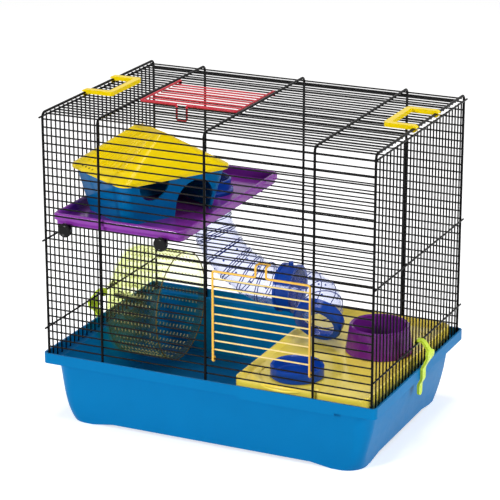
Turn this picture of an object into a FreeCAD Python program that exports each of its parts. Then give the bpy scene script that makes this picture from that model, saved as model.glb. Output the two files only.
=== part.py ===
import FreeCAD, Part
import math
import os

import Sketcher
from FreeCAD import Placement, Rotation, Vector

# A pet cage: a moulded tray, a wire hood with two doors, and the moulded fittings inside it.
# X runs to the right, Y to the back and Z up, from the middle of the floor that the cage stands on.

# Driving sizes, in millimetres and degrees
TRAY_SIZES = {
    "rim_length": 420.0,
    "rim_depth": 284.0,
    "rim_top": 86.0,
    "rim_corner": 6.0,
    "ledge_drop": 10.0,
    "ledge_wall": 2.5,
    "lip_wall": 2.2,
    "ledge_end_width": 11.0,
    "ledge_side_width": 7.5,
    "tray_mid_inset": 5.0,
    "tray_mid_height": 36.0,
    "tray_low_inset": 11.0,
    "tray_low_height": 11.0,
    "tray_foot_inset": 13.0,
    "tray_foot_side_inset": 5.75,
    "tray_corner": 16.0,
    "tray_foot_corner": 24.0,
    "tray_wall": 3.0,
    "tray_floor_wall": 3.0,
    "foot_height": 4.0,
    "foot_slope": 26.0,
    "foot_length": 34.0,
    "foot_depth": 34.0,
    "skirt_length": 118.0,
    "skirt_place": 101.0,
    "skirt_drop": 3.0,
}
HOOD_SIZES = {
    "hood_top": 378.0,
    "hood_end_inset": 4.5,
    "hood_side_inset": 1.8,
    "rib_place": 132.6,
    "rib_diameter": 3.0,
    "rib_bend": 6.0,
    "wire_diameter": 1.8,
    "rod_diameter": 2.2,
    "rod_overhang": 3.0,
    "weld_gap": 0.05,
    "front_wire_gap": 7.0,
    "top_wire_gap": 8.0,
    "top_rod_drop": 7.0,
    "mid_rod_drop": 154.0,
    "low_rod_rise": 30.5,
}
DOOR_SIZES = {
    "door_diameter": 2.6,
    "door_wire_diameter": 1.8,
    "hinge_clearance": 0.06,
    "front_door_left": 9.5,
    "front_door_right": 4.2,
    "front_door_overlap": 1.0,
    "front_door_first": 11.4,
    "front_door_last": 9.3,
    "front_latch_place": 59.3,
    "front_latch_reach": 12.0,
    "top_door_left": 5.0,
    "top_door_right": 5.2,
    "top_latch_gap": 0.2,
    "top_latch_place": 53.0,
    "top_latch_drop": 18.0,
    "latch_width": 12.8,
    "latch_bend": 2.6,
    "eye_turn": 250.0,
}
HANDLING_SIZES = {
    "handle_reach": 36.0,
    "handle_bar": 7.2,
    "handle_thickness": 5.0,
    "handle_sink": 0.9,
    "handle_barrel": 8.0,
    "handle_corner": 5.0,
    "handle_inner_corner": 2.0,
    "handle_slot": 2.4,
    "handle_clearance": 0.06,
    "clip_upright_gap": 0.4,
    "clip_strap_width": 21.0,
    "clip_tail_width": 10.4,
    "clip_flare_gap": 0.6,
    "clip_flare_drop": 6.0,
    "clip_strap_drop": 10.0,
    "clip_wall": 3.0,
    "clip_hook_drop": 4.0,
    "clip_shoulder": 5.0,
    "clip_bulge_reach": 16.0,
    "clip_bulge_drop": 12.5,
    "clip_rim_gap": 0.4,
    "clip_catch": 3.7,
    "clip_catch_drop": 1.2,
    "clip_catch_slope": 6.5,
    "clip_tail": 14.0,
    "clip_bend": 7.0,
    "clip_bulge_bend": 11.0,
    "clip_tail_bend": 10.0,
}
SHELF_SIZES = {
    "shelf_length": 169.5,
    "shelf_depth": 264.0,
    "shelf_left_gap": 5.5,
    "shelf_front_gap": 0.65,
    "shelf_peg_rise": 3.75,
    "shelf_step": 3.0,
    "shelf_step_height": 5.5,
    "shelf_rail_height": 7.5,
    "shelf_rail_wall": 5.5,
    "shelf_rail_round": 2.6,
    "shelf_floor_wall": 3.0,
    "shelf_corner": 9.0,
    "peg_diameter": 6.0,
    "peg_reach": 5.4,
    "peg_tab_width": 10.0,
    "peg_tab_wall": 4.0,
    "peg_tab_drop": 4.5,
    "peg_spacing": 122.7,
    "peg_offset": 3.3,
    "stud_gap": 0.45,
    "knob_diameter": 16.5,
    "knob_thickness": 5.0,
    "knob_gap": 0.35,
    "knob_face": 1.2,
    "knob_edge": 1.0,
    "knob_clearance": 0.05,
}
HOUSE_SIZES = {
    "house_offset": 4.25,
    "house_place_y": 40.6,
    "house_turn": 60.0,
    "house_height": 55.0,
    "house_top_length": 145.0,
    "house_top_depth": 113.0,
    "house_foot_length": 124.0,
    "house_foot_depth": 88.0,
    "house_corner": 12.0,
    "house_wall": 2.5,
    "window_radius": 20.0,
    "window_place": 29.5,
    "window_height": 47.0,
    "doorway_width": 50.0,
    "doorway_place": 29.5,
    "doorway_height": 43.0,
    "roof_overhang": 3.5,
    "roof_corner": 14.0,
    "roof_skirt": 4.0,
    "roof_height": 45.0,
    "roof_ridge_length": 56.0,
    "roof_ridge_width": 14.0,
    "roof_ridge_corner": 6.0,
    "roof_wall": 2.5,
    "roof_rest_gap": 0.1,
}
TUBE_SIZES = {
    "tube_offset": 26.75,
    "tube_place_y": 50.0,
    "tube_diameter": 50.0,
    "tube_wall": 1.8,
    "tube_fit": 0.05,
    "tube_top_drop": 2.0,
    "tube_straight": 26.0,
    "tube_bend": 97.0,
    "tube_rib_proud": 1.0,
    "tube_rib_width": 3.0,
    "tube_end": 10.0,
    "tube_meeting_gap": 0.4,
    "collar_diameter": 60.0,
    "collar_height": 17.0,
    "collar_neck_wall": 2.3,
    "collar_neck_length": 10.0,
    "collar_flange": 3.6,
    "collar_slope": 1.6,
    "collar_edge": 1.0,
    "collar_hole_gap": 0.3,
    "sleeve_diameter": 57.0,
    "sleeve_length": 21.0,
    "sleeve_band": 3.0,
    "sleeve_band_proud": 1.2,
    "nub_diameter": 6.0,
    "nub_height": 5.0,
    "elbow_reach": 42.5,
    "elbow_bend": 36.0,
    "elbow_turn": 30.0,
    "mouth_diameter": 60.0,
    "mouth_length": 12.0,
    "mouth_hole": 43.0,
    "mouth_lip": 3.5,
    "mouth_round": 2.0,
}
WHEEL_SIZES = {
    "wheel_floor_gap": 29.75,
    "wheel_tray_gap": 10.75,
    "wheel_radius": 67.5,
    "wheel_width": 69.0,
    "wheel_wall": 2.0,
    "wheel_rim_width": 4.0,
    "wheel_rim_height": 4.0,
    "wheel_hub_radius": 9.0,
    "wheel_hub_length": 14.0,
    "wheel_slot_width": 6.0,
    "wheel_slot_margin": 9.0,
    "axle_diameter": 6.0,
    "axle_clearance": 0.06,
    "cap_radius": 7.0,
    "cap_length": 5.0,
    "cap_edge": 2.0,
    "cap_gap": 0.3,
    "bracket_gap": 0.4,
    "bracket_wall": 3.0,
    "bracket_width": 28.0,
    "bracket_drop": 16.0,
    "bracket_rise": 5.0,
    "bracket_boss": 6.5,
    "bracket_hub_gap": 0.4,
    "hook_width": 5.0,
    "hook_wall": 2.4,
    "hook_clearance": 0.3,
    "hook_drop": 3.0,
}
FLOOR_SIZES = {
    "platform_length": 164.0,
    "platform_end_gap": 6.0,
    "platform_wire_gap": 0.65,
    "platform_rise": 12.0,
    "platform_lip": 5.0,
    "platform_wall": 2.5,
    "platform_slope": 5.0,
    "platform_edge": 1.0,
    "platform_corner": 10.0,
    "blue_bowl_end_gap": 59.0,
    "blue_bowl_front_gap": 46.0,
    "blue_bowl_radius": 31.0,
    "blue_bowl_height": 14.0,
    "blue_bowl_wall": 3.5,
    "purple_bowl_end_gap": 50.0,
    "purple_bowl_back": 26.0,
    "purple_bowl_foot": 40.0,
    "purple_bowl_mouth": 35.5,
    "purple_bowl_height": 33.0,
    "purple_bowl_wall": 4.0,
    "bowl_floor": 3.0,
    "bowl_edge": 1.2,
    "bowl_flare": 2.0,
    "overrun": 5.0,
}
SIZES = {
    **TRAY_SIZES, **HOOD_SIZES, **DOOR_SIZES, **HANDLING_SIZES, **SHELF_SIZES,
    **HOUSE_SIZES, **TUBE_SIZES, **WHEEL_SIZES, **FLOOR_SIZES,
}

# Counts: wires are numbered from the top of the hood down, or from its middle towards the back
FRONT_WIRES = 30
FRONT_DOOR_GAP = range(18, 28)
FRONT_HINGE_WIRE = 28
FRONT_STOP_WIRE = 17
FRONT_LATCH_WIRE = 15.5
PEG_WIRE = 14.5
TOP_WIRES_EACH_SIDE = 13
TOP_DOOR_GAP = range(-3, 6)
TOP_HINGE_WIRE = 6
TOP_STOP_WIRE = -4
PANEL_SPACES = 27
WHEEL_PANEL_WIRE = 16
FRONT_DOOR_WIRES = 9
HANDLE_PITCHES = 7
RIGHT_HANDLE_WIRE = 1
TUBE_RIBS = 6
WHEEL_SLOTS = 36

os.makedirs("parts", exist_ok=True)
doc = FreeCAD.newDocument("PetCage")
sheet = doc.addObject("Spreadsheet::Sheet", "Sizes")
for row, (alias, amount) in enumerate(SIZES.items(), start=1):
    sheet.set(f"A{row}", str(amount))
    sheet.setAlias(f"A{row}", alias)
doc.recompute()

pieces = []


class Dim:
    """A length worked out from the sheet: its expression and its present value."""

    def __init__(self, text, value):
        self.text = text
        self.value = value

    def join(self, sign, other, value):
        right = other.text if isinstance(other, Dim) else str(other)
        return Dim(f"({self.text} {sign} {right})", value)

    def __add__(self, other):
        return self.join("+", other, self.value + plain(other))

    def __sub__(self, other):
        return self.join("-", other, self.value - plain(other))

    def __mul__(self, other):
        return self.join("*", other, self.value * plain(other))

    def __truediv__(self, other):
        return self.join("/", other, self.value / plain(other))

    def __neg__(self):
        return Dim(f"(-1 * {self.text})", -self.value)


class SizeBook:
    """Gives each size of the sheet by its alias."""

    def __getattr__(self, name):
        return Dim(f"Sizes.{name}", float(sheet.get(name)))


size = SizeBook()


def plain(amount):
    """Give the present value of a size or of a plain number."""
    return amount.value if isinstance(amount, Dim) else amount


# Levels and places that several pieces share
ledge_top = size.rim_top - size.ledge_drop
ledge_under = ledge_top - size.ledge_wall
tray_top_length = size.rim_length - size.ledge_end_width * 2
tray_top_depth = size.rim_depth - size.ledge_side_width * 2
tray_mid_length = tray_top_length - size.tray_mid_inset * 2
tray_low_length = tray_top_length - size.tray_low_inset * 2
tray_foot_length = tray_top_length - size.tray_foot_inset * 2
tray_foot_depth = tray_top_depth - size.tray_foot_side_inset * 2
inner_floor = size.foot_height + size.tray_floor_wall
end_rise = (tray_low_length - tray_foot_length) / size.tray_low_height
inner_floor_length = tray_foot_length + end_rise * inner_floor
rib_radius = size.rib_diameter / 2
wire_radius = size.wire_diameter / 2
rod_radius = size.rod_diameter / 2
rib_top_line = size.hood_top - rib_radius
end_rib = size.rim_length / 2 - size.lip_wall - size.hood_end_inset
rib_leg = size.rim_depth / 2 - size.lip_wall - size.hood_side_inset
wire_face = rib_leg - rib_radius - size.weld_gap - wire_radius
top_wire_line = rib_top_line - rib_radius - size.weld_gap - wire_radius
rod_line = end_rib + rib_radius + size.weld_gap + rod_radius
upright_line = rod_line - rod_radius - size.weld_gap - wire_radius
wires_inside = wire_face - wire_radius
uprights_inside = upright_line - wire_radius
front_pitch = (size.hood_top - size.rim_top - size.front_wire_gap) / FRONT_WIRES
top_pitch = (rib_leg - size.top_wire_gap) / TOP_WIRES_EACH_SIDE
panel_pitch = rib_leg * 2 / PANEL_SPACES
top_rod_height = size.hood_top - size.top_rod_drop
mid_rod_height = size.hood_top - size.mid_rod_drop
low_rod_height = size.rim_top + size.low_rod_rise
peg_height = size.hood_top - front_pitch * PEG_WIRE
shelf_bottom = peg_height + size.shelf_peg_rise
shelf_floor = shelf_bottom + size.shelf_floor_wall
shelf_height = size.shelf_step_height + size.shelf_rail_height
shelf_x = size.shelf_left_gap - uprights_inside + size.shelf_length / 2
shelf_y = size.shelf_depth / 2 - wires_inside + size.shelf_front_gap
tube_x = shelf_x + size.tube_offset
tube_radius = size.tube_diameter / 2
tube_top = shelf_floor + size.collar_height - size.tube_top_drop
tube_low_line = tube_top - size.tube_straight - size.tube_bend
sleeve_x = tube_x + size.tube_bend
collar_bore = tube_radius + size.tube_fit
wheel_y = panel_pitch * WHEEL_PANEL_WIRE - rib_leg
wheel_bottom = inner_floor + size.wheel_floor_gap
wheel_axis_height = wheel_bottom + size.wheel_radius
wall_lean = (tray_mid_length - inner_floor_length) / 2 / (size.tray_mid_height - inner_floor)
wall_by_wheel = tray_mid_length / 2 - size.tray_wall - wall_lean * (size.tray_mid_height - wheel_bottom)
wheel_back = size.wheel_tray_gap - wall_by_wheel
platform_right = uprights_inside - size.platform_end_gap
platform_left = platform_right - size.platform_length
platform_x = platform_right - size.platform_length / 2
platform_reach = wires_inside - size.platform_wire_gap
platform_floor = ledge_top + size.platform_rise


def bind(thing, prop, amount):
    """Keep a property of a document object at a size."""
    thing.setExpression(prop, amount.text)


def place(thing, x=0, y=0, z=0, turn=Rotation()):
    """Put a document object at a place given in sizes."""
    thing.Placement = Placement(Vector(plain(x), plain(y), plain(z)), turn)
    for letter, amount in zip("xyz", (x, y, z)):
        if isinstance(amount, Dim):
            thing.setExpression(f"Placement.Base.{letter}", amount.text)


def new_body(label):
    """Start a moulded or bent piece."""
    body = doc.addObject("PartDesign::Body", label)
    body.Label = label
    pieces.append(body)
    return body


def sketch_on(body, role, name, lift=None):
    """Start a sketch on one of the body's own planes, or at a height over it."""
    sketch = body.newObject("Sketcher::SketchObject", f"{body.Name}_{name}")
    plane = next(item for item in body.Origin.OriginFeatures if item.Role == role)
    sketch.AttachmentSupport = [(plane, "")]
    sketch.MapMode = "FlatFace"
    if lift is not None:
        sketch.AttachmentOffset = Placement(Vector(0, 0, lift.value), Rotation())
        bind(sketch, "AttachmentOffset.Base.z", lift)
    return sketch


def hold(sketch, edge, end, x, y=None):
    """Hold one end of an edge, or an arc's centre, at its sizes from the sketch's origin."""
    for kind, amount in (("DistanceX", x), ("DistanceY", y)):
        if amount is None:
            continue
        index = sketch.addConstraint(Sketcher.Constraint(kind, -1, 1, edge, end, plain(amount)))
        if isinstance(amount, Dim):
            sketch.setExpression(f"Constraints[{index}]", amount.text)


def sign(amount):
    """Give -1, 0 or 1 for the direction of a run."""
    return (amount > 1e-9) - (amount < -1e-9)


def heading(start, end):
    """Give the sign of a run along the sketch's two axes."""
    return tuple(sign(plain(b) - plain(a)) for a, b in zip(start, end))


def shifted(amount, step, direction):
    """Move a coordinate by a step, forwards, backwards or not at all."""
    if direction == 0:
        return amount
    move = step if direction > 0 else -step
    return move + amount


def chain(sketch, corners, bends=None, closed=True):
    """Draw runs from corner to corner, with a round bend in each corner where one is given."""
    last = len(corners) - 1
    if not isinstance(bends, list):
        bends = [bends] * len(corners)
    stops = []
    for index, (corner, bend) in enumerate(zip(corners, bends)):
        is_end = not closed and index in (0, last)
        if bend is None or is_end:
            stops.append((corner, corner, None))
            continue
        back = heading(corner, corners[index - 1])
        ahead = heading(corner, corners[(index + 1) % len(corners)])
        entry = tuple(shifted(c, bend, s) for c, s in zip(corner, back))
        leave = tuple(shifted(c, bend, s) for c, s in zip(corner, ahead))
        centre = tuple(shifted(c, bend, s + t) for c, s, t in zip(corner, back, ahead))
        stops.append((entry, leave, (centre, back, ahead)))
    runs = len(corners) if closed else last
    lines = []
    for index in range(runs):
        start = stops[index][1]
        end = stops[(index + 1) % len(corners)][0]
        ends = [Vector(plain(x), plain(y), 0) for x, y in (start, end)]
        line = sketch.addGeometry(Part.LineSegment(*ends), False)
        lines.append(line)
        hold(sketch, line, 1, *start)
        if stops[(index + 1) % len(corners)][2] is not None or (not closed and index == runs - 1):
            hold(sketch, line, 2, *end)
    for index in range(len(corners)):
        arriving = lines[index - 1] if closed or index > 0 else None
        leaving = lines[index] if index < len(lines) else None
        if arriving is None or leaving is None:
            continue
        if stops[index][2] is None:
            sketch.addConstraint(Sketcher.Constraint("Coincident", arriving, 2, leaving, 1))
            continue
        centre, back, ahead = stops[index][2]
        entry_angle = math.atan2(-ahead[1], -ahead[0])
        leave_angle = math.atan2(-back[1], -back[0])
        turns_left = math.sin(leave_angle - entry_angle) > 0
        first = entry_angle if turns_left else leave_angle
        middle = Vector(plain(centre[0]), plain(centre[1]), 0)
        circle = Part.Circle(middle, Vector(0, 0, 1), bends[index].value)
        arc = sketch.addGeometry(Part.ArcOfCircle(circle, first, first + math.pi / 2), False)
        sketch.addConstraint(Sketcher.Constraint("Coincident", arc, 1 if turns_left else 2, arriving, 2))
        sketch.addConstraint(Sketcher.Constraint("Coincident", arc, 2 if turns_left else 1, leaving, 1))
        hold(sketch, arc, 3, centre[0])


def box_corners(x_low, x_high, y_low, y_high):
    """Give a rectangle's corners in order."""
    return [(x_low, y_low), (x_high, y_low), (x_high, y_high), (x_low, y_high)]


def rounded_box(sketch, length, depth, corner):
    """Draw a rectangle with round corners about the sketch's origin."""
    chain(sketch, box_corners(-length / 2, length / 2, -depth / 2, depth / 2), corner)


def box_sections(body, prefix, levels, wall=None):
    """Draw a round-cornered rectangle at each level, drawn in by a wall where one is given."""
    sketches = []
    for number, (level, length, depth, corner) in enumerate(levels):
        sketch = sketch_on(body, "XY_Plane", f"{prefix}_{number}", level)
        if wall is None:
            rounded_box(sketch, length, depth, corner)
        else:
            rounded_box(sketch, length - wall * 2, depth - wall * 2, corner - wall)
        sketches.append(sketch)
    return sketches


def disc(sketch, radius, x=0, y=0):
    """Draw a circle."""
    middle = Vector(plain(x), plain(y), 0)
    edge = sketch.addGeometry(Part.Circle(middle, Vector(0, 0, 1), radius.value), False)
    index = sketch.addConstraint(Sketcher.Constraint("Radius", edge, radius.value))
    sketch.setExpression(f"Constraints[{index}]", radius.text)
    hold(sketch, edge, 3, x, y)


def feature(body, kind, name, sketch):
    """Add a feature to a body and make it the body's result."""
    item = body.newObject(f"PartDesign::{kind}", f"{body.Name}_{name}")
    item.Profile = sketch
    body.Tip = item
    return item


def pad(body, name, sketch, length, back=False):
    """Raise a sketch by a length."""
    item = feature(body, "Pad", name, sketch)
    bind(item, "Length", length)
    item.Reversed = back


def pocket(body, name, sketch, length=None, back=False, both=False):
    """Cut a sketch to a length, or right through the piece."""
    item = feature(body, "Pocket", name, sketch)
    item.Reversed = back
    if both:
        item.SideType = "Symmetric"
    if length is None:
        item.Type = "ThroughAll"
    else:
        bind(item, "Length", length)
    return item


def revolve(body, name, sketch, axis):
    """Turn a sketch a full circle about an axis of its own."""
    item = feature(body, "Revolution", name, sketch)
    item.ReferenceAxis = (sketch, [axis])
    item.Angle = 360.0


def loft(body, kind, name, sketches, ruled):
    """Join sketches at several heights into a solid or a cut."""
    item = feature(body, kind, name, sketches[0])
    item.Sections = sketches[1:]
    item.Ruled = ruled


def pipe(body, name, profile, spine):
    """Sweep a section along a chain of runs and bends."""
    item = feature(body, "AdditivePipe", name, profile)
    count = len(spine.Geometry)
    item.Spine = (spine, [f"Edge{number}" for number in range(1, count + 1)])


def round_level(body, name, level, radius):
    """Round every edge of a body that lies at one level."""
    doc.recompute()
    edges = []
    for number, edge in enumerate(body.Shape.Edges, start=1):
        box = edge.BoundBox
        if abs(box.ZMin - level.value) + abs(box.ZMax - level.value) < 1e-4:
            edges.append(f"Edge{number}")
    before = body.Tip
    item = body.newObject("PartDesign::Fillet", f"{body.Name}_{name}")
    item.Base = (before, edges)
    bind(item, "Radius", radius)
    body.Tip = item


def code_piece(label, shape):
    """Add a piece whose bent shape is worked out from the sizes."""
    item = doc.addObject("Part::Feature", label)
    item.Label = label
    item.Shape = shape
    pieces.append(item)
    return item


def spot(x=0, y=0, z=0):
    """Give a point at its present sizes."""
    return Vector(plain(x), plain(y), plain(z))


def bent_path(points, bends):
    """Join points by straight runs, with a tangent arc in each corner between them."""
    edges = []
    start = points[0]
    for before, corner, after, bend in zip(points, points[1:], points[2:], bends):
        back = (before - corner).normalize()
        ahead = (after - corner).normalize()
        half_angle = back.getAngle(ahead) / 2
        reach = bend / math.tan(half_angle)
        middle_way = (back + ahead).normalize()
        entry = corner + back * reach
        leave = corner + ahead * reach
        inside = corner + middle_way * (bend / math.sin(half_angle) - bend)
        edges.append(Part.LineSegment(start, entry).toShape())
        edges.append(Part.Arc(entry, inside, leave).toShape())
        start = leave
    edges.append(Part.LineSegment(start, points[-1]).toShape())
    return edges


def swept_wire(edges, radius):
    """Sweep a round wire along runs and bends."""
    first = edges[0]
    start = first.valueAt(first.FirstParameter)
    ring = Part.Circle(start, first.tangentAt(first.FirstParameter), radius).toShape()
    return Part.Wire(edges).makePipeShell([Part.Wire(ring)], True, False)


# Straight wires
ALONG_X = Rotation(Vector(0, 1, 0), 90)
ALONG_Y = Rotation(Vector(1, 0, 0), -90)
ALONG_Z = Rotation()


def straight_wire(name, start, direction, length, radius):
    """Make one straight wire."""
    rod = doc.addObject("Part::Cylinder", name)
    bind(rod, "Radius", radius)
    bind(rod, "Height", length)
    place(rod, *start, turn=direction)
    return rod


def bundle(label, wires):
    """Group separate wires of one kind under one name."""
    group = doc.addObject("Part::Compound", label)
    group.Label = label
    group.Links = wires
    pieces.append(group)


def tray():
    """Mould the tub, with its ledge, lip and corner feet."""
    body = new_body("tray")
    taper = (tray_top_depth - tray_foot_depth) / ledge_top

    def section(level, length):
        return level, length, tray_foot_depth + taper * level, size.tray_corner

    foot = (None, tray_foot_length, tray_foot_depth, size.tray_foot_corner)
    low = section(size.tray_low_height, tray_low_length)
    middle = section(size.tray_mid_height, tray_mid_length)
    top = section(ledge_top, tray_top_length)
    floor = section(inner_floor, inner_floor_length)
    loft(body, "AdditiveLoft", "tub", box_sections(body, "out", [foot, low, middle, top]), False)
    inside = box_sections(body, "in", [floor, middle, top], size.tray_wall)
    loft(body, "SubtractiveLoft", "inside", inside, False)

    ledge = sketch_on(body, "XY_Plane", "ledge", ledge_under)
    rounded_box(ledge, size.rim_length, size.rim_depth, size.rim_corner)
    mouth_length = tray_top_length - size.tray_wall * 2
    mouth_depth = tray_top_depth - size.tray_wall * 2
    rounded_box(ledge, mouth_length, mouth_depth, size.tray_corner - size.tray_wall)
    pad(body, "ledge_pad", ledge, size.ledge_wall)
    lip = sketch_on(body, "XY_Plane", "lip", ledge_under)
    rounded_box(lip, size.rim_length, size.rim_depth, size.rim_corner)
    lip_length = size.rim_length - size.lip_wall * 2
    lip_depth = size.rim_depth - size.lip_wall * 2
    rounded_box(lip, lip_length, lip_depth, size.rim_corner - size.lip_wall)
    pad(body, "lip_pad", lip, size.rim_top - ledge_under)

    skirt = sketch_on(body, "XZ_Plane", "skirt", size.rim_depth / 2)
    skirt_ends = (size.skirt_place - size.skirt_length / 2, size.skirt_place + size.skirt_length / 2)
    chain(skirt, box_corners(*skirt_ends, ledge_under - size.skirt_drop, ledge_under + size.ledge_wall / 2))
    pad(body, "skirt_pad", skirt, size.lip_wall, back=True)

    for name, role, reach, foot in (
        ("arch_front", "XZ_Plane", tray_foot_length / 2, size.foot_length),
        ("arch_side", "YZ_Plane", tray_foot_depth / 2, size.foot_depth),
    ):
        end = reach - foot
        flat = end - size.foot_slope
        arch = sketch_on(body, role, name)
        chain(arch, [
            (-end, -size.overrun), (end, -size.overrun), (end, 0), (flat, size.foot_height),
            (-flat, size.foot_height), (-end, 0),
        ])
        pocket(body, f"{name}_cut", arch, both=True)


def ribs():
    """Bend the five thick ribs: up the front, over the top and down the back."""
    places = {
        "far_left_rib": -end_rib,
        "left_rib": -size.rib_place,
        "middle_rib": None,
        "right_rib": size.rib_place,
        "far_right_rib": end_rib,
    }
    for label, x in places.items():
        body = new_body(label)
        section = sketch_on(body, "XY_Plane", "section", ledge_top)
        disc(section, rib_radius, 0, -rib_leg)
        spine = sketch_on(body, "YZ_Plane", "spine")
        corners = [
            (-rib_leg, ledge_top), (-rib_leg, rib_top_line), (rib_leg, rib_top_line), (rib_leg, ledge_top),
        ]
        chain(spine, corners, size.rib_bend, closed=False)
        pipe(body, "bend", section, spine)
        if x is not None:
            place(body, x)


def hood_wires():
    """Lay the straight wires of the front, the back and the top, cut away at the doors."""
    whole = [(-end_rib, end_rib * 2)]
    front_cut = [(-end_rib, end_rib), (size.rib_place, end_rib - size.rib_place)]
    top_cut = [(-end_rib, end_rib - size.rib_place), (0, end_rib)]
    groups = {"front": [], "back": [], "top": []}
    for number in range(1, FRONT_WIRES + 1):
        height = size.hood_top - front_pitch * number
        spans = {"front": front_cut if number in FRONT_DOOR_GAP else whole, "back": whole}
        for side, face in (("front", -wire_face), ("back", wire_face)):
            for part, (start, length) in enumerate(spans[side]):
                name = f"{side}_wire_{number}_{part}"
                groups[side].append(straight_wire(name, (start, face, height), ALONG_X, length, wire_radius))
    for number in range(-TOP_WIRES_EACH_SIDE, TOP_WIRES_EACH_SIDE + 1):
        for part, (start, length) in enumerate(top_cut if number in TOP_DOOR_GAP else whole):
            name = f"top_wire_{number + TOP_WIRES_EACH_SIDE}_{part}"
            spot_on_top = (start, top_pitch * number, top_wire_line)
            groups["top"].append(straight_wire(name, spot_on_top, ALONG_X, length, wire_radius))
    for side, wires in groups.items():
        bundle(f"hood_{side}_wires", wires)


def side_panels():
    """Lay the uprights and the cross rods of the two end panels."""
    for side, direction in (("left", -1), ("right", 1)):
        uprights = []
        for number in range(1, PANEL_SPACES):
            start = (upright_line * direction, panel_pitch * number - rib_leg, ledge_top)
            length = top_rod_height - ledge_top
            uprights.append(straight_wire(f"{side}_upright_{number}", start, ALONG_Z, length, wire_radius))
        bundle(f"{side}_panel_wires", uprights)
        rods = []
        heights = (top_rod_height, mid_rod_height, low_rod_height)
        for name, height in zip(("top", "mid", "low"), heights):
            start = (rod_line * direction, -(rib_leg + size.rod_overhang), height)
            length = (rib_leg + size.rod_overhang) * 2
            rods.append(straight_wire(f"{side}_{name}_rod", start, ALONG_Y, length, rod_radius))
        bundle(f"{side}_panel_rods", rods)


def hinge_eye(x, y, z, radius, start, turn):
    """Curl a door wire's end part of a circle round the straight wire that it hinges on."""
    spots = []
    for share in (0, 0.5, 1):
        angle = math.radians(start + turn * share)
        spots.append(spot(x, y, z) + Vector(0, radius * math.cos(angle), radius * math.sin(angle)))
    return Part.Arc(*spots).toShape()


def door_frame(label, outline, middles, radius, side, curl):
    """Bend a door's frame from one wire, with an eye at each end.

    The frame leaves its first eye at an angle, side, about the hinge, and curl says which way round.
    """
    frame = size.door_diameter.value / 2
    turn = size.eye_turn.value * curl
    first = hinge_eye(*middles[0], radius, side - turn, turn)
    last = hinge_eye(*middles[1], radius, side, -turn)
    runs = bent_path(outline, [size.latch_bend.value] * (len(outline) - 2))
    code_piece(label, swept_wire([first, *runs, last], frame))


def front_door():
    """Bend the front door's frame and lay its wires. It hinges on a front wire below it."""
    frame = size.door_diameter / 2
    door_wire = size.door_wire_diameter / 2
    eye = wire_radius + size.hinge_clearance + frame
    hinge = size.hood_top - front_pitch * FRONT_HINGE_WIRE
    left = size.front_door_left
    right = size.rib_place - size.front_door_right
    face = -(wire_face + eye)
    top = size.hood_top - front_pitch * FRONT_STOP_WIRE + size.front_door_overlap
    latch = size.hood_top - front_pitch * FRONT_LATCH_WIRE
    latch_left = left + size.front_latch_place - size.latch_width / 2
    latch_right = latch_left + size.latch_width
    tip = face + size.front_latch_reach
    outline = [
        spot(left, face, hinge), spot(left, face, top), spot(latch_left, face, top),
        spot(latch_left, face, latch), spot(latch_left, tip, latch), spot(latch_right, tip, latch),
        spot(latch_right, face, latch), spot(latch_right, face, top), spot(right, face, top),
        spot(right, face, hinge),
    ]
    middles = [(x, -wire_face, hinge) for x in (left, right)]
    door_frame("front_door_frame", outline, middles, eye.value, 180, -1)
    wires = []
    first = hinge + size.front_door_first
    pitch = (top - size.front_door_last - first) / (FRONT_DOOR_WIRES - 1)
    for number in range(FRONT_DOOR_WIRES):
        height = first + pitch * number
        inside = face + frame + size.weld_gap + door_wire
        start = (left, inside, height)
        wires.append(straight_wire(f"front_door_wire_{number}", start, ALONG_X, right - left, door_wire))
    bundle("front_door_wires", wires)


def top_door():
    """Bend the top door's frame and lay its wires. It hinges on a top wire behind it."""
    frame = size.door_diameter / 2
    door_wire = size.door_wire_diameter / 2
    eye = wire_radius + size.hinge_clearance + frame
    hinge = top_pitch * TOP_HINGE_WIRE
    left = -size.rib_place + size.top_door_left
    right = -size.top_door_right
    level = top_wire_line + eye
    front = top_pitch * TOP_STOP_WIRE - wire_radius - size.top_latch_gap - frame
    latch_left = left + size.top_latch_place - size.latch_width / 2
    latch_right = latch_left + size.latch_width
    tip = level - size.top_latch_drop
    outline = [
        spot(left, hinge, level), spot(left, front, level), spot(latch_left, front, level),
        spot(latch_left, front, tip), spot(latch_right, front, tip), spot(latch_right, front, level),
        spot(right, front, level), spot(right, hinge, level),
    ]
    middles = [(x, hinge, top_wire_line) for x in (left, right)]
    door_frame("top_door_frame", outline, middles, eye.value, 90, 1)
    wires = []
    for number in TOP_DOOR_GAP:
        start = (left, top_pitch * number, level - frame - size.weld_gap - door_wire)
        name = f"top_door_wire_{number - TOP_DOOR_GAP.start}"
        wires.append(straight_wire(name, start, ALONG_X, right - left, door_wire))
    bundle("top_door_wires", wires)


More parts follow.
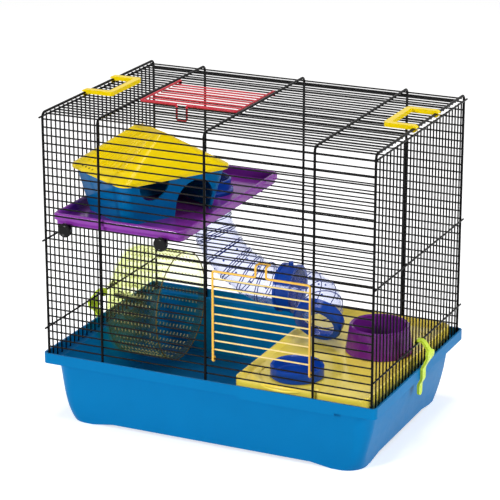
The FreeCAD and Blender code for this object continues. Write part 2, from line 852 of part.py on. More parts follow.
def handle(label, x, y, turn):
    """Mould a flat strap handle whose two barrels clip round an end rib."""
    body = new_body(label)
    span = top_pitch * HANDLE_PITCHES
    outer = span / 2 + size.handle_bar / 2
    inner = span / 2 - size.handle_bar / 2
    strap = sketch_on(body, "XY_Plane", "strap", -size.handle_sink)
    reach = size.handle_reach
    near = size.handle_barrel / 2
    hollow = reach - size.handle_bar
    corner = size.handle_corner
    chain(strap, box_corners(0, reach, -outer, outer), [None, corner, corner, None])
    pad(body, "strap_pad", strap, size.handle_thickness)
    barrel = sketch_on(body, "XZ_Plane", "barrel", outer)
    disc(barrel, near)
    pad(body, "barrel_pad", barrel, outer * 2, back=True)
    gap = sketch_on(body, "XY_Plane", "gap")
    inner_corner = size.handle_inner_corner
    gap_corners = box_corners(-(near + size.overrun), hollow, -inner, inner)
    chain(gap, gap_corners, [None, inner_corner, inner_corner, None])
    pocket(body, "gap_cut", gap, both=True)
    bore = sketch_on(body, "XZ_Plane", "bore")
    disc(bore, rib_radius + size.handle_clearance)
    pocket(body, "bore_cut", bore, both=True)
    slot = sketch_on(body, "XZ_Plane", "slot")
    half_slot = size.handle_slot / 2
    chain(slot, box_corners(-(near + size.overrun), 0, -half_slot, half_slot))
    pocket(body, "slot_cut", slot, both=True)
    place(body, x, y, rib_top_line, turn)


def clip(label, x, turn):
    """Bend a moulded clip that hooks on the low rod, bulges out and catches under the rim."""
    wall = size.clip_wall
    hook = rod_radius + size.hinge_clearance + wall / 2
    rim_side = size.rim_length / 2 - rod_line + size.clip_rim_gap + wall / 2
    rim_drop = -size.low_rod_rise
    under_rim = ledge_under - low_rod_height - size.clip_catch_drop
    tail_side = rim_side - size.clip_catch
    tail_top = under_rim - size.clip_catch_slope
    corners = [
        (-hook, -size.clip_hook_drop), (-hook, hook), (size.clip_shoulder, hook),
        (size.clip_bulge_reach, -size.clip_bulge_drop), (rim_side, rim_drop), (rim_side, under_rim),
        (tail_side, tail_top), (tail_side, tail_top - size.clip_tail),
    ]
    points = [spot(side, 0, height) for side, height in corners]
    tail_bends = [size.clip_tail_bend.value] * 3
    bends = [hook.value, size.clip_bend.value, size.clip_bulge_bend.value, *tail_bends]
    path = Part.Wire(bent_path(points, bends))
    half_wall = wall.value / 2
    half_width = size.clip_strap_width.value / 2
    start = points[0]
    section = Part.makePolygon([
        start + Vector(-half_wall, -half_width, 0), start + Vector(half_wall, -half_width, 0),
        start + Vector(half_wall, half_width, 0), start + Vector(-half_wall, half_width, 0),
        start + Vector(-half_wall, -half_width, 0),
    ])
    band = path.makePipeShell([section], True, False)
    item = code_piece(label, band.common(clip_face(hook + wall, tail_top - size.clip_tail)))
    place(item, x, 0, low_rod_height, turn)


def clip_face(top, bottom):
    """Give a block with a clip's outline from the side: a narrow hook, a wide strap and a round tail."""
    hook = (panel_pitch - size.wire_diameter) / 2 - size.clip_upright_gap
    strap = size.clip_strap_width / 2
    tail = size.clip_tail_width / 2
    flare = size.clip_hook_drop + size.clip_flare_gap
    flare_end = flare + size.clip_flare_drop
    strap_end = flare_end + size.clip_strap_drop
    back = -size.overrun - top * 2
    bellies = [(hook, -flare), (strap, -flare_end), (strap, -strap_end), (tail, bottom + tail)]
    edges = []
    for half in (1, -1):
        belly = Part.BSplineCurve()
        belly.interpolate(
            Points=[spot(back, y * half, z) for y, z in bellies],
            InitialTangent=Vector(0, 0, -1), FinalTangent=Vector(0, 0, -1),
        )
        edges.append(Part.makeLine(spot(back, hook * half, top), spot(back, hook * half, -flare)))
        edges.append(belly.toShape())
    ends = [spot(back, tail * half, bottom + tail) for half in (1, -1)]
    edges.append(Part.Arc(ends[0], spot(back, 0, bottom), ends[1]).toShape())
    edges.append(Part.makeLine(spot(back, hook, top), spot(back, -hook, top)))
    length = size.clip_bulge_reach + size.overrun * 2 - back
    return Part.Face(Part.Wire(Part.__sortEdges__(edges))).extrude(spot(length, 0, 0))


def shelf():
    """Mould the upper floor: a shallow tray with a stepped rail, a tube hole and two rear pegs."""
    body = new_body("shelf")
    step = sketch_on(body, "XY_Plane", "step")
    inset = size.shelf_step * 2
    step_corner = size.shelf_corner - size.shelf_step
    rounded_box(step, size.shelf_length - inset, size.shelf_depth - inset, step_corner)
    pad(body, "step_pad", step, size.shelf_step_height)
    rail = sketch_on(body, "XY_Plane", "rail", size.shelf_step_height)
    rounded_box(rail, size.shelf_length, size.shelf_depth, size.shelf_corner)
    pad(body, "rail_pad", rail, size.shelf_rail_height)
    room = sketch_on(body, "XY_Plane", "room", shelf_height)
    walls = size.shelf_rail_wall * 2
    room_corner = size.shelf_corner - size.shelf_rail_wall
    rounded_box(room, size.shelf_length - walls, size.shelf_depth - walls, room_corner)
    pocket(body, "room_cut", room, shelf_height - size.shelf_floor_wall)
    round_level(body, "rail_round", shelf_height, size.shelf_rail_round)
    hole = sketch_on(body, "XY_Plane", "hole")
    hole_y = size.tube_place_y - shelf_y
    disc(hole, collar_bore + size.collar_neck_wall + size.collar_hole_gap, size.tube_offset, hole_y)
    pocket(body, "hole_cut", hole, both=True)
    rear = size.shelf_depth / 2 - size.shelf_step
    tabs = sketch_on(body, "XZ_Plane", "tabs", -rear)
    pegs = sketch_on(body, "XZ_Plane", "pegs", -rear)
    peg_level = -size.shelf_peg_rise
    tab_low = peg_level - size.peg_tab_drop
    half_tab = size.peg_tab_width / 2
    for x in (-size.peg_offset - size.peg_spacing / 2, -size.peg_offset + size.peg_spacing / 2):
        chain(tabs, box_corners(x - half_tab, x + half_tab, tab_low, size.shelf_floor_wall))
        disc(pegs, size.peg_diameter / 2, x, peg_level)
    pad(body, "tabs_pad", tabs, size.peg_tab_wall)
    pad(body, "pegs_pad", pegs, wire_face + size.peg_reach - (shelf_y + rear), back=True)
    place(body, shelf_x, shelf_y, shelf_bottom)


def shelf_fixing(side, x):
    """Mould a black stud under the shelf's front, and the round nut that clamps it to the wires."""
    stud = new_body(f"{side}_shelf_stud")
    back = wires_inside - size.stud_gap
    tab = sketch_on(stud, "XZ_Plane", "tab", back)
    half_tab = size.peg_tab_width / 2
    chain(tab, box_corners(-half_tab, half_tab, -size.peg_tab_drop, size.shelf_peg_rise))
    pad(stud, "tab_pad", tab, size.peg_tab_wall, back=True)
    peg = sketch_on(stud, "XZ_Plane", "peg", back)
    disc(peg, size.peg_diameter / 2)
    nut_face = wire_face + wire_radius + size.knob_gap
    pad(stud, "peg_pad", peg, nut_face + size.knob_thickness - size.knob_face * 2 - back)
    place(stud, x, 0, peg_height)

    knob = new_body(f"{side}_shelf_knob")
    profile = sketch_on(knob, "XY_Plane", "profile")
    rim = size.knob_diameter / 2
    bore = size.peg_diameter / 2 + size.knob_clearance
    front = -(nut_face + size.knob_thickness)
    bore_end = front + size.knob_face
    edge = size.knob_edge
    chain(profile, [
        (0, front), (rim - edge, front), (rim, front + edge), (rim, -nut_face - edge),
        (rim - edge, -nut_face), (bore, -nut_face), (bore, bore_end), (0, bore_end),
    ])
    revolve(knob, "turned", profile, "V_Axis")
    place(knob, x, 0, peg_height)


def house_place(body, height):
    """Stand a piece of the house on the shelf, turned as the house is."""
    place(body, shelf_x - size.house_offset, -size.house_place_y, height)
    body.Placement.Rotation = Rotation(Vector(0, 0, 1), size.house_turn.value)
    body.setExpression("Placement.Rotation.Angle", f"{size.house_turn.text} * 1 deg")


def house_body():
    """Mould the hut: tapered walls, a round window and an arched doorway."""
    body = new_body("house_body")
    levels = [
        (None, size.house_foot_length, size.house_foot_depth, size.house_corner),
        (size.house_height, size.house_top_length, size.house_top_depth, size.house_corner),
    ]
    loft(body, "AdditiveLoft", "walls", box_sections(body, "out", levels), True)
    loft(body, "SubtractiveLoft", "room", box_sections(body, "in", levels, size.house_wall), True)
    window = sketch_on(body, "XZ_Plane", "window")
    disc(window, size.window_radius, -size.window_place, size.window_height)
    pocket(body, "window_cut", window, size.house_top_depth, back=True)
    doorway = sketch_on(body, "XZ_Plane", "doorway")
    half = size.doorway_width / 2
    left = size.doorway_place - half
    right = size.doorway_place + half
    spring = size.doorway_height - half
    chain(doorway, box_corners(left, right, -size.overrun, spring))
    pocket(body, "doorway_cut", doorway, size.house_top_depth, back=True)
    arch = sketch_on(body, "XZ_Plane", "arch")
    disc(arch, half, size.doorway_place, spring)
    pocket(body, "arch_cut", arch, size.house_top_depth, back=True)
    house_place(body, shelf_floor)


def house_roof():
    """Mould the lift-off roof: a skirt, and four slopes up to a short ridge."""
    body = new_body("house_roof")
    roof_length = size.house_top_length + size.roof_overhang * 2
    roof_depth = size.house_top_depth + size.roof_overhang * 2
    eave = (roof_length, roof_depth, size.roof_corner)
    ridge = (size.roof_ridge_width, size.roof_ridge_length, size.roof_ridge_corner)
    inner_height = size.roof_height - size.roof_wall
    outer = [(size.roof_skirt, *eave), (size.roof_height, *ridge)]
    inner = [(size.roof_skirt, *eave), (inner_height, *ridge)]
    skirt = sketch_on(body, "XY_Plane", "skirt")
    rounded_box(skirt, *eave)
    pad(body, "skirt_pad", skirt, size.roof_skirt)
    loft(body, "AdditiveLoft", "slopes", box_sections(body, "out", outer), True)
    loft(body, "SubtractiveLoft", "attic", box_sections(body, "in", inner, size.roof_wall), True)
    mouth = sketch_on(body, "XY_Plane", "mouth", size.roof_skirt)
    walls = size.roof_wall * 2
    rounded_box(mouth, roof_length - walls, roof_depth - walls, size.roof_corner - size.roof_wall)
    pocket(body, "mouth_cut", mouth, size.roof_skirt)
    run = (roof_length - size.roof_ridge_width) / 2
    inset = size.roof_overhang - size.roof_wall
    rest = size.roof_skirt + inset * (inner_height - size.roof_skirt) / run - size.roof_rest_gap
    house_place(body, shelf_floor + size.house_height - rest)


def tube_top_collar():
    """Turn the collar that stands on the shelf, with a neck down through the shelf's hole."""
    body = new_body("tube_top_collar")
    profile = sketch_on(body, "XZ_Plane", "profile")
    rim = size.collar_diameter / 2
    neck = collar_bore + size.collar_neck_wall
    flange = size.collar_flange
    chain(profile, [
        (collar_bore, -size.collar_neck_length), (neck, -size.collar_neck_length), (neck, 0), (rim, 0),
        (rim, flange), (neck, flange + size.collar_slope), (neck, size.collar_height - size.collar_edge),
        (neck - size.collar_edge, size.collar_height), (collar_bore, size.collar_height),
    ])
    revolve(body, "turned", profile, "V_Axis")
    place(body, tube_x, size.tube_place_y, shelf_floor)


def upper_tube():
    """Bend the clear tube from the shelf down to the sleeve, with ribs round it."""
    radius = tube_radius.value
    inner = radius - size.tube_wall.value
    bend = size.tube_bend.value
    end = size.tube_end.value
    top = Vector(0, 0, bend + size.tube_straight.value)
    path = bent_path([top, Vector(0, 0, 0), Vector(bend + end, 0, 0)], [bend])
    proud = radius + size.tube_rib_proud.value
    width = size.tube_rib_width.value
    bands = []
    for number in range(1, TUBE_RIBS + 1):
        angle = math.radians(90.0 * number / (TUBE_RIBS + 1))
        middle = Vector(bend - bend * math.cos(angle), 0, bend - bend * math.sin(angle))
        along = Vector(math.sin(angle), 0, -math.cos(angle))
        bands.append(Part.makeCylinder(proud, width, middle - along * (width / 2), along))
    shape = swept_wire(path, radius).fuse(bands).cut(swept_wire(path, inner))
    item = code_piece("upper_tube", shape)
    place(item, tube_x, size.tube_place_y, tube_low_line)


def tube_middle_collar():
    """Turn the sleeve that joins the two tubes, with a locking nub on top."""
    body = new_body("tube_middle_collar")
    profile = sketch_on(body, "XY_Plane", "profile")
    rim = size.sleeve_diameter / 2
    band = size.sleeve_band
    proud = rim + size.sleeve_band_proud
    long = size.sleeve_length
    chain(profile, [
        (0, collar_bore), (long, collar_bore), (long, proud), (long - band, proud), (long - band, rim),
        (band, rim), (band, proud), (0, proud),
    ])
    revolve(body, "turned", profile, "H_Axis")
    nub = sketch_on(body, "XY_Plane", "nub", rim - size.sleeve_band_proud)
    disc(nub, size.nub_diameter / 2, long - band - size.nub_diameter, 0)
    pad(body, "nub_pad", nub, size.nub_height + size.sleeve_band_proud)
    place(body, sleeve_x, size.tube_place_y, tube_low_line)


def elbow_place(body):
    """Put a piece at the sleeve's far end, turned about the sleeve as the elbow is."""
    place(body, sleeve_x + size.sleeve_length, size.tube_place_y, tube_low_line)
    body.Placement.Rotation = Rotation(Vector(1, 0, 0), size.elbow_turn.value)
    body.setExpression("Placement.Rotation.Angle", f"{size.elbow_turn.text} * 1 deg")


def lower_elbow():
    """Bend the clear elbow from the sleeve round to the mouth."""
    body = new_body("lower_elbow")
    inlet = size.tube_end + size.tube_meeting_gap - size.sleeve_length
    section = sketch_on(body, "YZ_Plane", "section", inlet)
    disc(section, tube_radius)
    disc(section, tube_radius - size.tube_wall)
    spine = sketch_on(body, "XY_Plane", "spine")
    outlet = size.elbow_bend + size.mouth_length - size.mouth_lip - size.tube_meeting_gap
    runs = [(inlet, 0), (size.elbow_reach, 0), (size.elbow_reach, -outlet)]
    chain(spine, runs, size.elbow_bend, closed=False)
    pipe(body, "bend", section, spine)
    elbow_place(body)


def tube_mouth_ring():
    """Turn the ring at the tube's lower mouth, with a lip inside its front."""
    body = new_body("tube_mouth_ring")
    profile = sketch_on(body, "XY_Plane", "profile")
    axis_x = size.elbow_reach
    back = -size.elbow_bend
    front = back - size.mouth_length
    rim = axis_x + size.mouth_diameter / 2
    bore = axis_x + collar_bore
    hole = axis_x + size.mouth_hole / 2
    lip = front + size.mouth_lip
    edge = size.mouth_round
    chain(profile, [
        (bore, back), (bore, lip), (hole, lip), (hole, front), (rim - edge, front), (rim, front + edge),
        (rim, back + edge), (rim - edge, back),
    ])
    line = Part.LineSegment(spot(axis_x, back), spot(axis_x, front))
    axis = profile.addGeometry(line, True)
    hold(profile, axis, 1, axis_x, back)
    hold(profile, axis, 2, axis_x, front)
    revolve(body, "turned", profile, "Axis0")
    elbow_place(body)


def wheel_drum():
    """Mould the running wheel: a hub, a back disc and a slotted drum, open to the right."""
    body = new_body("wheel_drum")
    profile = sketch_on(body, "XY_Plane", "profile")
    radius = size.wheel_radius
    width = size.wheel_width
    wall = size.wheel_wall
    bore = size.axle_diameter / 2 + size.axle_clearance
    hub = size.wheel_hub_radius
    lip = radius - size.wheel_rim_height
    lip_start = width - size.wheel_rim_width
    chain(profile, [
        (0, bore), (0, radius), (width, radius), (width, lip), (lip_start, lip), (lip_start, radius - wall),
        (wall, radius - wall), (wall, hub), (size.wheel_hub_length, hub), (size.wheel_hub_length, bore),
    ])
    revolve(body, "turned", profile, "H_Axis")
    slot = sketch_on(body, "XY_Plane", "slot", radius - wall * 2)
    half = size.wheel_slot_width / 2
    chain(slot, box_corners(size.wheel_slot_margin, width - size.wheel_slot_margin, -half, half))
    cut = pocket(body, "slot_cut", slot, wall * 4, back=True)
    slots = body.newObject("PartDesign::PolarPattern", "wheel_drum_slots")
    slots.Originals = [cut]
    axis = next(item for item in body.Origin.OriginFeatures if item.Role == "X_Axis")
    slots.Axis = (axis, [""])
    slots.Angle = 360.0
    slots.Occurrences = WHEEL_SLOTS
    body.Tip = slots
    place(body, wheel_back, wheel_y, wheel_axis_height)


def wheel_fixings():
    """Make the axle, its end cap, and the bracket that hooks on the left panel's low rod."""
    axle_radius = size.axle_diameter / 2
    plate_out = size.bracket_gap - uprights_inside
    boss_end = wheel_back - size.bracket_hub_gap
    hub_end = wheel_back + size.wheel_hub_length
    cap_start = hub_end + size.cap_gap
    start = (plate_out, wheel_y, wheel_axis_height)
    axle_length = cap_start - plate_out + size.cap_length / 2
    axle = straight_wire("wheel_axle", start, ALONG_X, axle_length, axle_radius)
    axle.Label = "wheel_axle"
    pieces.append(axle)

    cap = new_body("axle_cap")
    profile = sketch_on(cap, "XY_Plane", "profile")
    seat = axle_radius + size.axle_clearance
    end = size.cap_length
    bore_end = end / 2 + size.cap_gap
    edge = size.cap_edge
    chain(profile, [
        (0, seat), (0, size.cap_radius), (end - edge, size.cap_radius), (end, size.cap_radius - edge),
        (end, 0), (bore_end, 0), (bore_end, seat),
    ])
    revolve(cap, "turned", profile, "H_Axis")
    place(cap, cap_start, wheel_y, wheel_axis_height)

    bracket = new_body("wheel_bracket")
    rod_level = low_rod_height - wheel_axis_height
    hook_under = rod_level + rod_radius + size.hook_clearance
    hook_top = hook_under + size.hook_wall
    plate = sketch_on(bracket, "YZ_Plane", "plate")
    half = size.bracket_width / 2
    chain(plate, box_corners(-half, half, -size.bracket_drop, hook_top + size.bracket_rise))
    pad(bracket, "plate_pad", plate, size.bracket_wall)
    boss = sketch_on(bracket, "YZ_Plane", "boss")
    disc(boss, axle_radius + size.bracket_boss / 2)
    pad(bracket, "boss_pad", boss, boss_end - plate_out)
    bore = sketch_on(bracket, "YZ_Plane", "bore")
    disc(bore, axle_radius + size.axle_clearance)
    pocket(bracket, "bore_cut", bore, both=True)
    hooks = sketch_on(bracket, "XZ_Plane", "hooks")
    inner_side = rod_line - uprights_inside + size.bracket_gap + rod_radius + size.hook_clearance
    outer_side = inner_side + size.hook_wall
    chain(hooks, [
        (size.bracket_wall / 2, hook_under), (size.bracket_wall / 2, hook_top), (-outer_side, hook_top),
        (-outer_side, rod_level - size.hook_drop), (-inner_side, rod_level - size.hook_drop),
        (-inner_side, hook_under),
    ])
    pad(bracket, "hooks_pad", hooks, panel_pitch + size.hook_width)
    bracket.Tip.SideType = "Symmetric"
    between = sketch_on(bracket, "XZ_Plane", "between")
    room = outer_side + size.overrun
    chain(between, box_corners(-room, 0, rod_level - size.overrun, hook_top + size.overrun))
    pocket(bracket, "between_cut", between, panel_pitch - size.hook_width, both=True)
    place(bracket, plate_out, wheel_y, wheel_axis_height)


def platform():
    """Mould the lower floor: a plate with a sloped lip, whose skirt stands on the tray's ledge."""
    body = new_body("platform")
    depth = platform_reach * 2
    floor = size.platform_rise
    height = floor + size.platform_lip
    walls = size.platform_wall * 2
    slopes = size.platform_slope * 2
    block = sketch_on(body, "XY_Plane", "block")
    rounded_box(block, size.platform_length, depth, size.platform_corner)
    pad(body, "block_pad", block, height)
    inner = (size.platform_length - walls, depth - walls, size.platform_corner - size.platform_wall)
    low = (floor, inner[0] - slopes, inner[1] - slopes, inner[2] - size.platform_slope / 2)
    high = (height, *inner)
    loft(body, "SubtractiveLoft", "room", box_sections(body, "room", [low, high]), True)
    round_level(body, "edge", height, size.platform_edge)
    under = sketch_on(body, "XY_Plane", "under")
    rounded_box(under, *inner)
    pocket(body, "under_cut", under, floor - size.platform_wall, back=True)
    place(body, platform_x, 0, ledge_top)


def bowl(label, x, y, foot, mouth, height, wall):
    """Turn a feeding bowl."""
    body = new_body(label)
    profile = sketch_on(body, "XZ_Plane", "profile")
    edge = size.bowl_edge
    hollow_foot = mouth - wall - size.bowl_flare
    chain(profile, [
        (0, 0), (foot - edge, 0), (foot, edge), (mouth, height - edge), (mouth - edge, height),
        (mouth - wall, height - edge), (hollow_foot, size.bowl_floor + edge),
        (hollow_foot - edge, size.bowl_floor), (0, size.bowl_floor),
    ])
    revolve(body, "turned", profile, "V_Axis")
    place(body, x, y, platform_floor)


AHEAD = Rotation()
ABOUT = Rotation(Vector(0, 0, 1), 180)

tray()
ribs()
hood_wires()
side_panels()
front_door()
top_door()
handle("left_handle", -end_rib, 0, AHEAD)
handle("right_handle", end_rib, top_pitch * RIGHT_HANDLE_WIRE, ABOUT)
clip("left_clip", -rod_line, ABOUT)
clip("right_clip", rod_line, AHEAD)
shelf()
shelf_fixing("left", shelf_x - size.peg_offset - size.peg_spacing / 2)
shelf_fixing("right", shelf_x - size.peg_offset + size.peg_spacing / 2)
house_body()
house_roof()
tube_top_collar()
upper_tube()
tube_middle_collar()
lower_elbow()
tube_mouth_ring()
wheel_drum()
wheel_fixings()
platform()
bowl(
    "blue_bowl", platform_left + size.blue_bowl_end_gap, size.blue_bowl_front_gap - platform_reach,
    size.blue_bowl_radius, size.blue_bowl_radius, size.blue_bowl_height, size.blue_bowl_wall,
)
bowl(
    "purple_bowl", platform_right - size.purple_bowl_end_gap, size.purple_bowl_back,
    size.purple_bowl_foot, size.purple_bowl_mouth, size.purple_bowl_height, size.purple_bowl_wall,
)

doc.recompute()
for item in doc.Objects:
    if "Invalid" in item.State or "Error" in item.State:
        raise RuntimeError(f"{item.Label} failed: {item.State}")
for piece in pieces:
    if piece.Shape.isNull() or not piece.Shape.isValid() or not piece.Shape.Solids:
        raise RuntimeError(f"{piece.Label} has no valid solid")
for piece in pieces:
    piece.Shape.exportStep(f"parts/{piece.Label}.step")
    print(piece.Label, len(piece.Shape.Solids), round(piece.Shape.Volume, 1))
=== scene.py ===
"""Dresses a wire pet cage: moulded plastics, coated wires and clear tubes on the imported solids."""

import logging
import math
from dataclasses import dataclass
from enum import Enum
from typing import Any, Iterable

import bpy
from mathutils import Matrix, Vector


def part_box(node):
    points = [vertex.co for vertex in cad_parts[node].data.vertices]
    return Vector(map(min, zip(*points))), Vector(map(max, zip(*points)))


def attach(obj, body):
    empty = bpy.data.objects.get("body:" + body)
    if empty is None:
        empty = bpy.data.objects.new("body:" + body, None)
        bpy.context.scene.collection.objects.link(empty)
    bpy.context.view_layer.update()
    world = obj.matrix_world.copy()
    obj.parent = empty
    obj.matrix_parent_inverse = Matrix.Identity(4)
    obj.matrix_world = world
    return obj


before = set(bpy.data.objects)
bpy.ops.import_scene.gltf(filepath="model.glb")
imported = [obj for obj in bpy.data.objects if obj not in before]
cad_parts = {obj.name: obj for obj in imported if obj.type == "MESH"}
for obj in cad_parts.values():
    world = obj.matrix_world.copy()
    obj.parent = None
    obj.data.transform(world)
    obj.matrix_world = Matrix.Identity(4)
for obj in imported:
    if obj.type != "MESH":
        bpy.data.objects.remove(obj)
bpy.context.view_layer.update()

logging.basicConfig(level=logging.INFO, format="%(message)s")
LOG = logging.getLogger("pet_cage")

MM = 0.001
RIGHT_ANGLE = math.radians(90)
SMOOTH_ANGLE = math.radians(35)
FACES_UP = 0.9
WELD_GAP = 0.00001
BEAD_SIDES = 8

Tree = bpy.types.NodeTree
Socket = bpy.types.NodeSocket


class Body(Enum):
    """The moving groups that new pieces ride on."""

    CAGE = "cage"
    WHEEL = "wheel"
    ROOF = "roof"
    LEFT_NUT = "left_nut"
    RIGHT_NUT = "right_nut"


def linear(code: str) -> tuple[float, float, float, float]:
    """Turn an sRGB hex colour to linear light.

    Args:
        code: a colour such as "#0B86C8".

    Returns:
        Linear red, green and blue, and an alpha of one.
    """
    parts = []
    for start in (1, 3, 5):
        share = int(code[start:start + 2], 16) / 255
        parts.append(share / 12.92 if share <= 0.04045 else ((share + 0.055) / 1.055) ** 2.4)
    return parts[0], parts[1], parts[2], 1.0


def per_metre(size_mm: float) -> float:
    """Give a texture scale whose features are about a size in millimetres across."""
    return 1.0 / (size_mm * MM)


def add_node(
    tree: Tree,
    kind: str,
    settings: dict[Any, Any] | None = None,
    links: dict[Any, Socket] | None = None,
) -> bpy.types.Node:
    """Add a node with its settings and links.

    Args:
        tree: the node tree to add to.
        kind: the node's type name.
        settings: values by input name, input number or property name.
        links: outputs to join, by input name or number.

    Returns:
        The new node.
    """
    node = tree.nodes.new(kind)
    for key, value in (settings or {}).items():
        if isinstance(key, str) and key not in node.inputs:
            setattr(node, key, value)
        else:
            node.inputs[key].default_value = value
    for key, socket in (links or {}).items():
        tree.links.new(socket, node.inputs[key])
    return node


def seen_by_eye(tree: Tree) -> Socket:
    """Give a socket that is one for rays that the eye sees, straight, in gloss or through glass.

    Args:
        tree: the node tree to add to.

    Returns:
        The socket.
    """
    path = add_node(tree, "ShaderNodeLightPath")
    seen = path.outputs["Is Camera Ray"]
    for kind in ("Is Glossy Ray", "Is Transmission Ray"):
        both = add_node(
            tree, "ShaderNodeMath", {"operation": "MAXIMUM"}, {0: seen, 1: path.outputs[kind]}
        )
        seen = both.outputs[0]
    return seen


def new_material(name: str) -> tuple[bpy.types.Material, Tree]:
    """Start a material with an empty node tree.

    Args:
        name: the material's name.

    Returns:
        The material and its tree.
    """
    material = bpy.data.materials.new(name)
    material.use_nodes = True
    material.node_tree.nodes.clear()
    return material, material.node_tree


def noise(tree: Tree, place: Socket, size_mm: float, detail: float) -> Socket:
    """Add a noise texture.

    Args:
        tree: the node tree to add to.
        place: the coordinates.
        size_mm: about how large its features are.
        detail: how many finer layers it has.

    Returns:
        Its value.
    """
    texture = add_node(
        tree, "ShaderNodeTexNoise", {"Scale": per_metre(size_mm), "Detail": detail}, {"Vector": place}
    )
    return texture.outputs["Fac"]


def spread(tree: Tree, value: Socket, low: float, high: float) -> Socket:
    """Stretch a value from between zero and one to another range.

    Args:
        tree: the node tree to add to.
        value: the value.
        low: what zero becomes.
        high: what one becomes.

    Returns:
        The stretched value.
    """
    stretched = add_node(tree, "ShaderNodeMapRange", {"To Min": low, "To Max": high}, {"Value": value})
    return stretched.outputs["Result"]


def mixed(tree: Tree, share: Socket, first: str, second: str) -> Socket:
    """Mix two hex colours.

    Args:
        tree: the node tree to add to.
        share: zero for the first colour to one for the second.
        first: the first colour.
        second: the second colour.

    Returns:
        The mixture.
    """
    mixture = add_node(
        tree, "ShaderNodeMix", {"data_type": "RGBA", 6: linear(first), 7: linear(second)}, {0: share}
    )
    return mixture.outputs[2]


def bumped(tree: Tree, height: Socket, strength: float, depth_mm: float) -> Socket:
    """Turn a height into a bumped normal.

    Args:
        tree: the node tree to add to.
        height: the height, from zero to one.
        strength: how much of the bump is used.
        depth_mm: the depth that a height of one stands for.

    Returns:
        The normal.
    """
    bump = add_node(
        tree, "ShaderNodeBump", {"Strength": strength, "Distance": depth_mm * MM}, {"Height": height}
    )
    return bump.outputs["Normal"]


def surface(tree: Tree, shader: Socket) -> None:
    """Join a shader to the material's output."""
    add_node(tree, "ShaderNodeOutputMaterial", links={"Surface": shader})


@dataclass(frozen=True)
class MouldedPlastic:
    """Injection-moulded plastic: an even colour, a soft gloss and a faint orange-peel skin."""

    name: str
    colour: str
    deep_colour: str
    roughness: float = 0.32
    shine: float = 0.14
    # painted sheen: this sheen weight greys slanted faces seen at a grazing angle and stands in for the
    # pale reflection on the tray's end faces; it is not dust
    grazing_sheen: float = 0.0
    patch_mm: float = 60.0
    rub_mm: float = 10.0
    rub_range: tuple[float, float] = (-0.07, 0.09)
    grain_mm: float = 1.6
    grain_depth_mm: float = 0.03
    grain_strength: float = 0.25
    ior: float = 1.49

    def build(self) -> bpy.types.Material:
        """Make the material.

        Returns:
            The finished material.
        """
        material, tree = new_material(self.name)
        place = add_node(tree, "ShaderNodeTexCoord").outputs["Object"]
        # slow change of shade where the melt was thicker
        colour = mixed(tree, noise(tree, place, self.patch_mm, detail=3.0), self.colour, self.deep_colour)
        # rubbed and dusty spots change the gloss a little
        low, high = self.rub_range
        rubbed = noise(tree, place, self.rub_mm, detail=4.0)
        gloss = spread(tree, rubbed, self.roughness + low, self.roughness + high)
        # orange-peel skin of the mould, drawn a little coarse so that it shows
        skin = noise(tree, place, self.grain_mm, detail=2.0)
        normal = bumped(tree, skin, self.grain_strength, self.grain_depth_mm)
        # the Sheen Weight carries the painted grazing sheen, which stands in for reflection
        shader = add_node(
            tree,
            "ShaderNodeBsdfPrincipled",
            {"IOR": self.ior, "Specular IOR Level": self.shine, "Sheen Weight": self.grazing_sheen},
            {"Base Color": colour, "Roughness": gloss, "Normal": normal},
        )
        surface(tree, shader.outputs["BSDF"])
        return material


@dataclass(frozen=True)
class CoatedWire:
    """Drawn steel wire in a baked coat: a dense colour with small runs and thin places in the coat."""

    name: str
    colour: str
    thin_colour: str
    roughness: float = 0.28
    shine: float = 0.2
    run_mm: float = 9.0
    thin_range: tuple[float, float] = (0.52, 0.78)
    gloss_range: tuple[float, float] = (-0.08, 0.12)
    lump_mm: float = 1.8
    lump_depth_mm: float = 0.05
    lump_strength: float = 0.2
    ior: float = 1.5

    def build(self) -> bpy.types.Material:
        """Make the material.

        Returns:
            The finished material.
        """
        material, tree = new_material(self.name)
        place = add_node(tree, "ShaderNodeTexCoord").outputs["Object"]
        runs = noise(tree, place, self.run_mm, detail=3.0)
        low, high = self.thin_range
        thin = add_node(tree, "ShaderNodeMapRange", {"From Min": low, "From Max": high}, {"Value": runs})
        colour = mixed(tree, thin.outputs["Result"], self.colour, self.thin_colour)
        low, high = self.gloss_range
        gloss = spread(tree, runs, self.roughness + low, self.roughness + high)
        lumps = noise(tree, place, self.lump_mm, detail=2.0)
        normal = bumped(tree, lumps, self.lump_strength, self.lump_depth_mm)
        shader = add_node(
            tree,
            "ShaderNodeBsdfPrincipled",
            {"IOR": self.ior, "Specular IOR Level": self.shine},
            {"Base Color": colour, "Roughness": gloss, "Normal": normal},
        )
        surface(tree, shader.outputs["BSDF"])
        return material


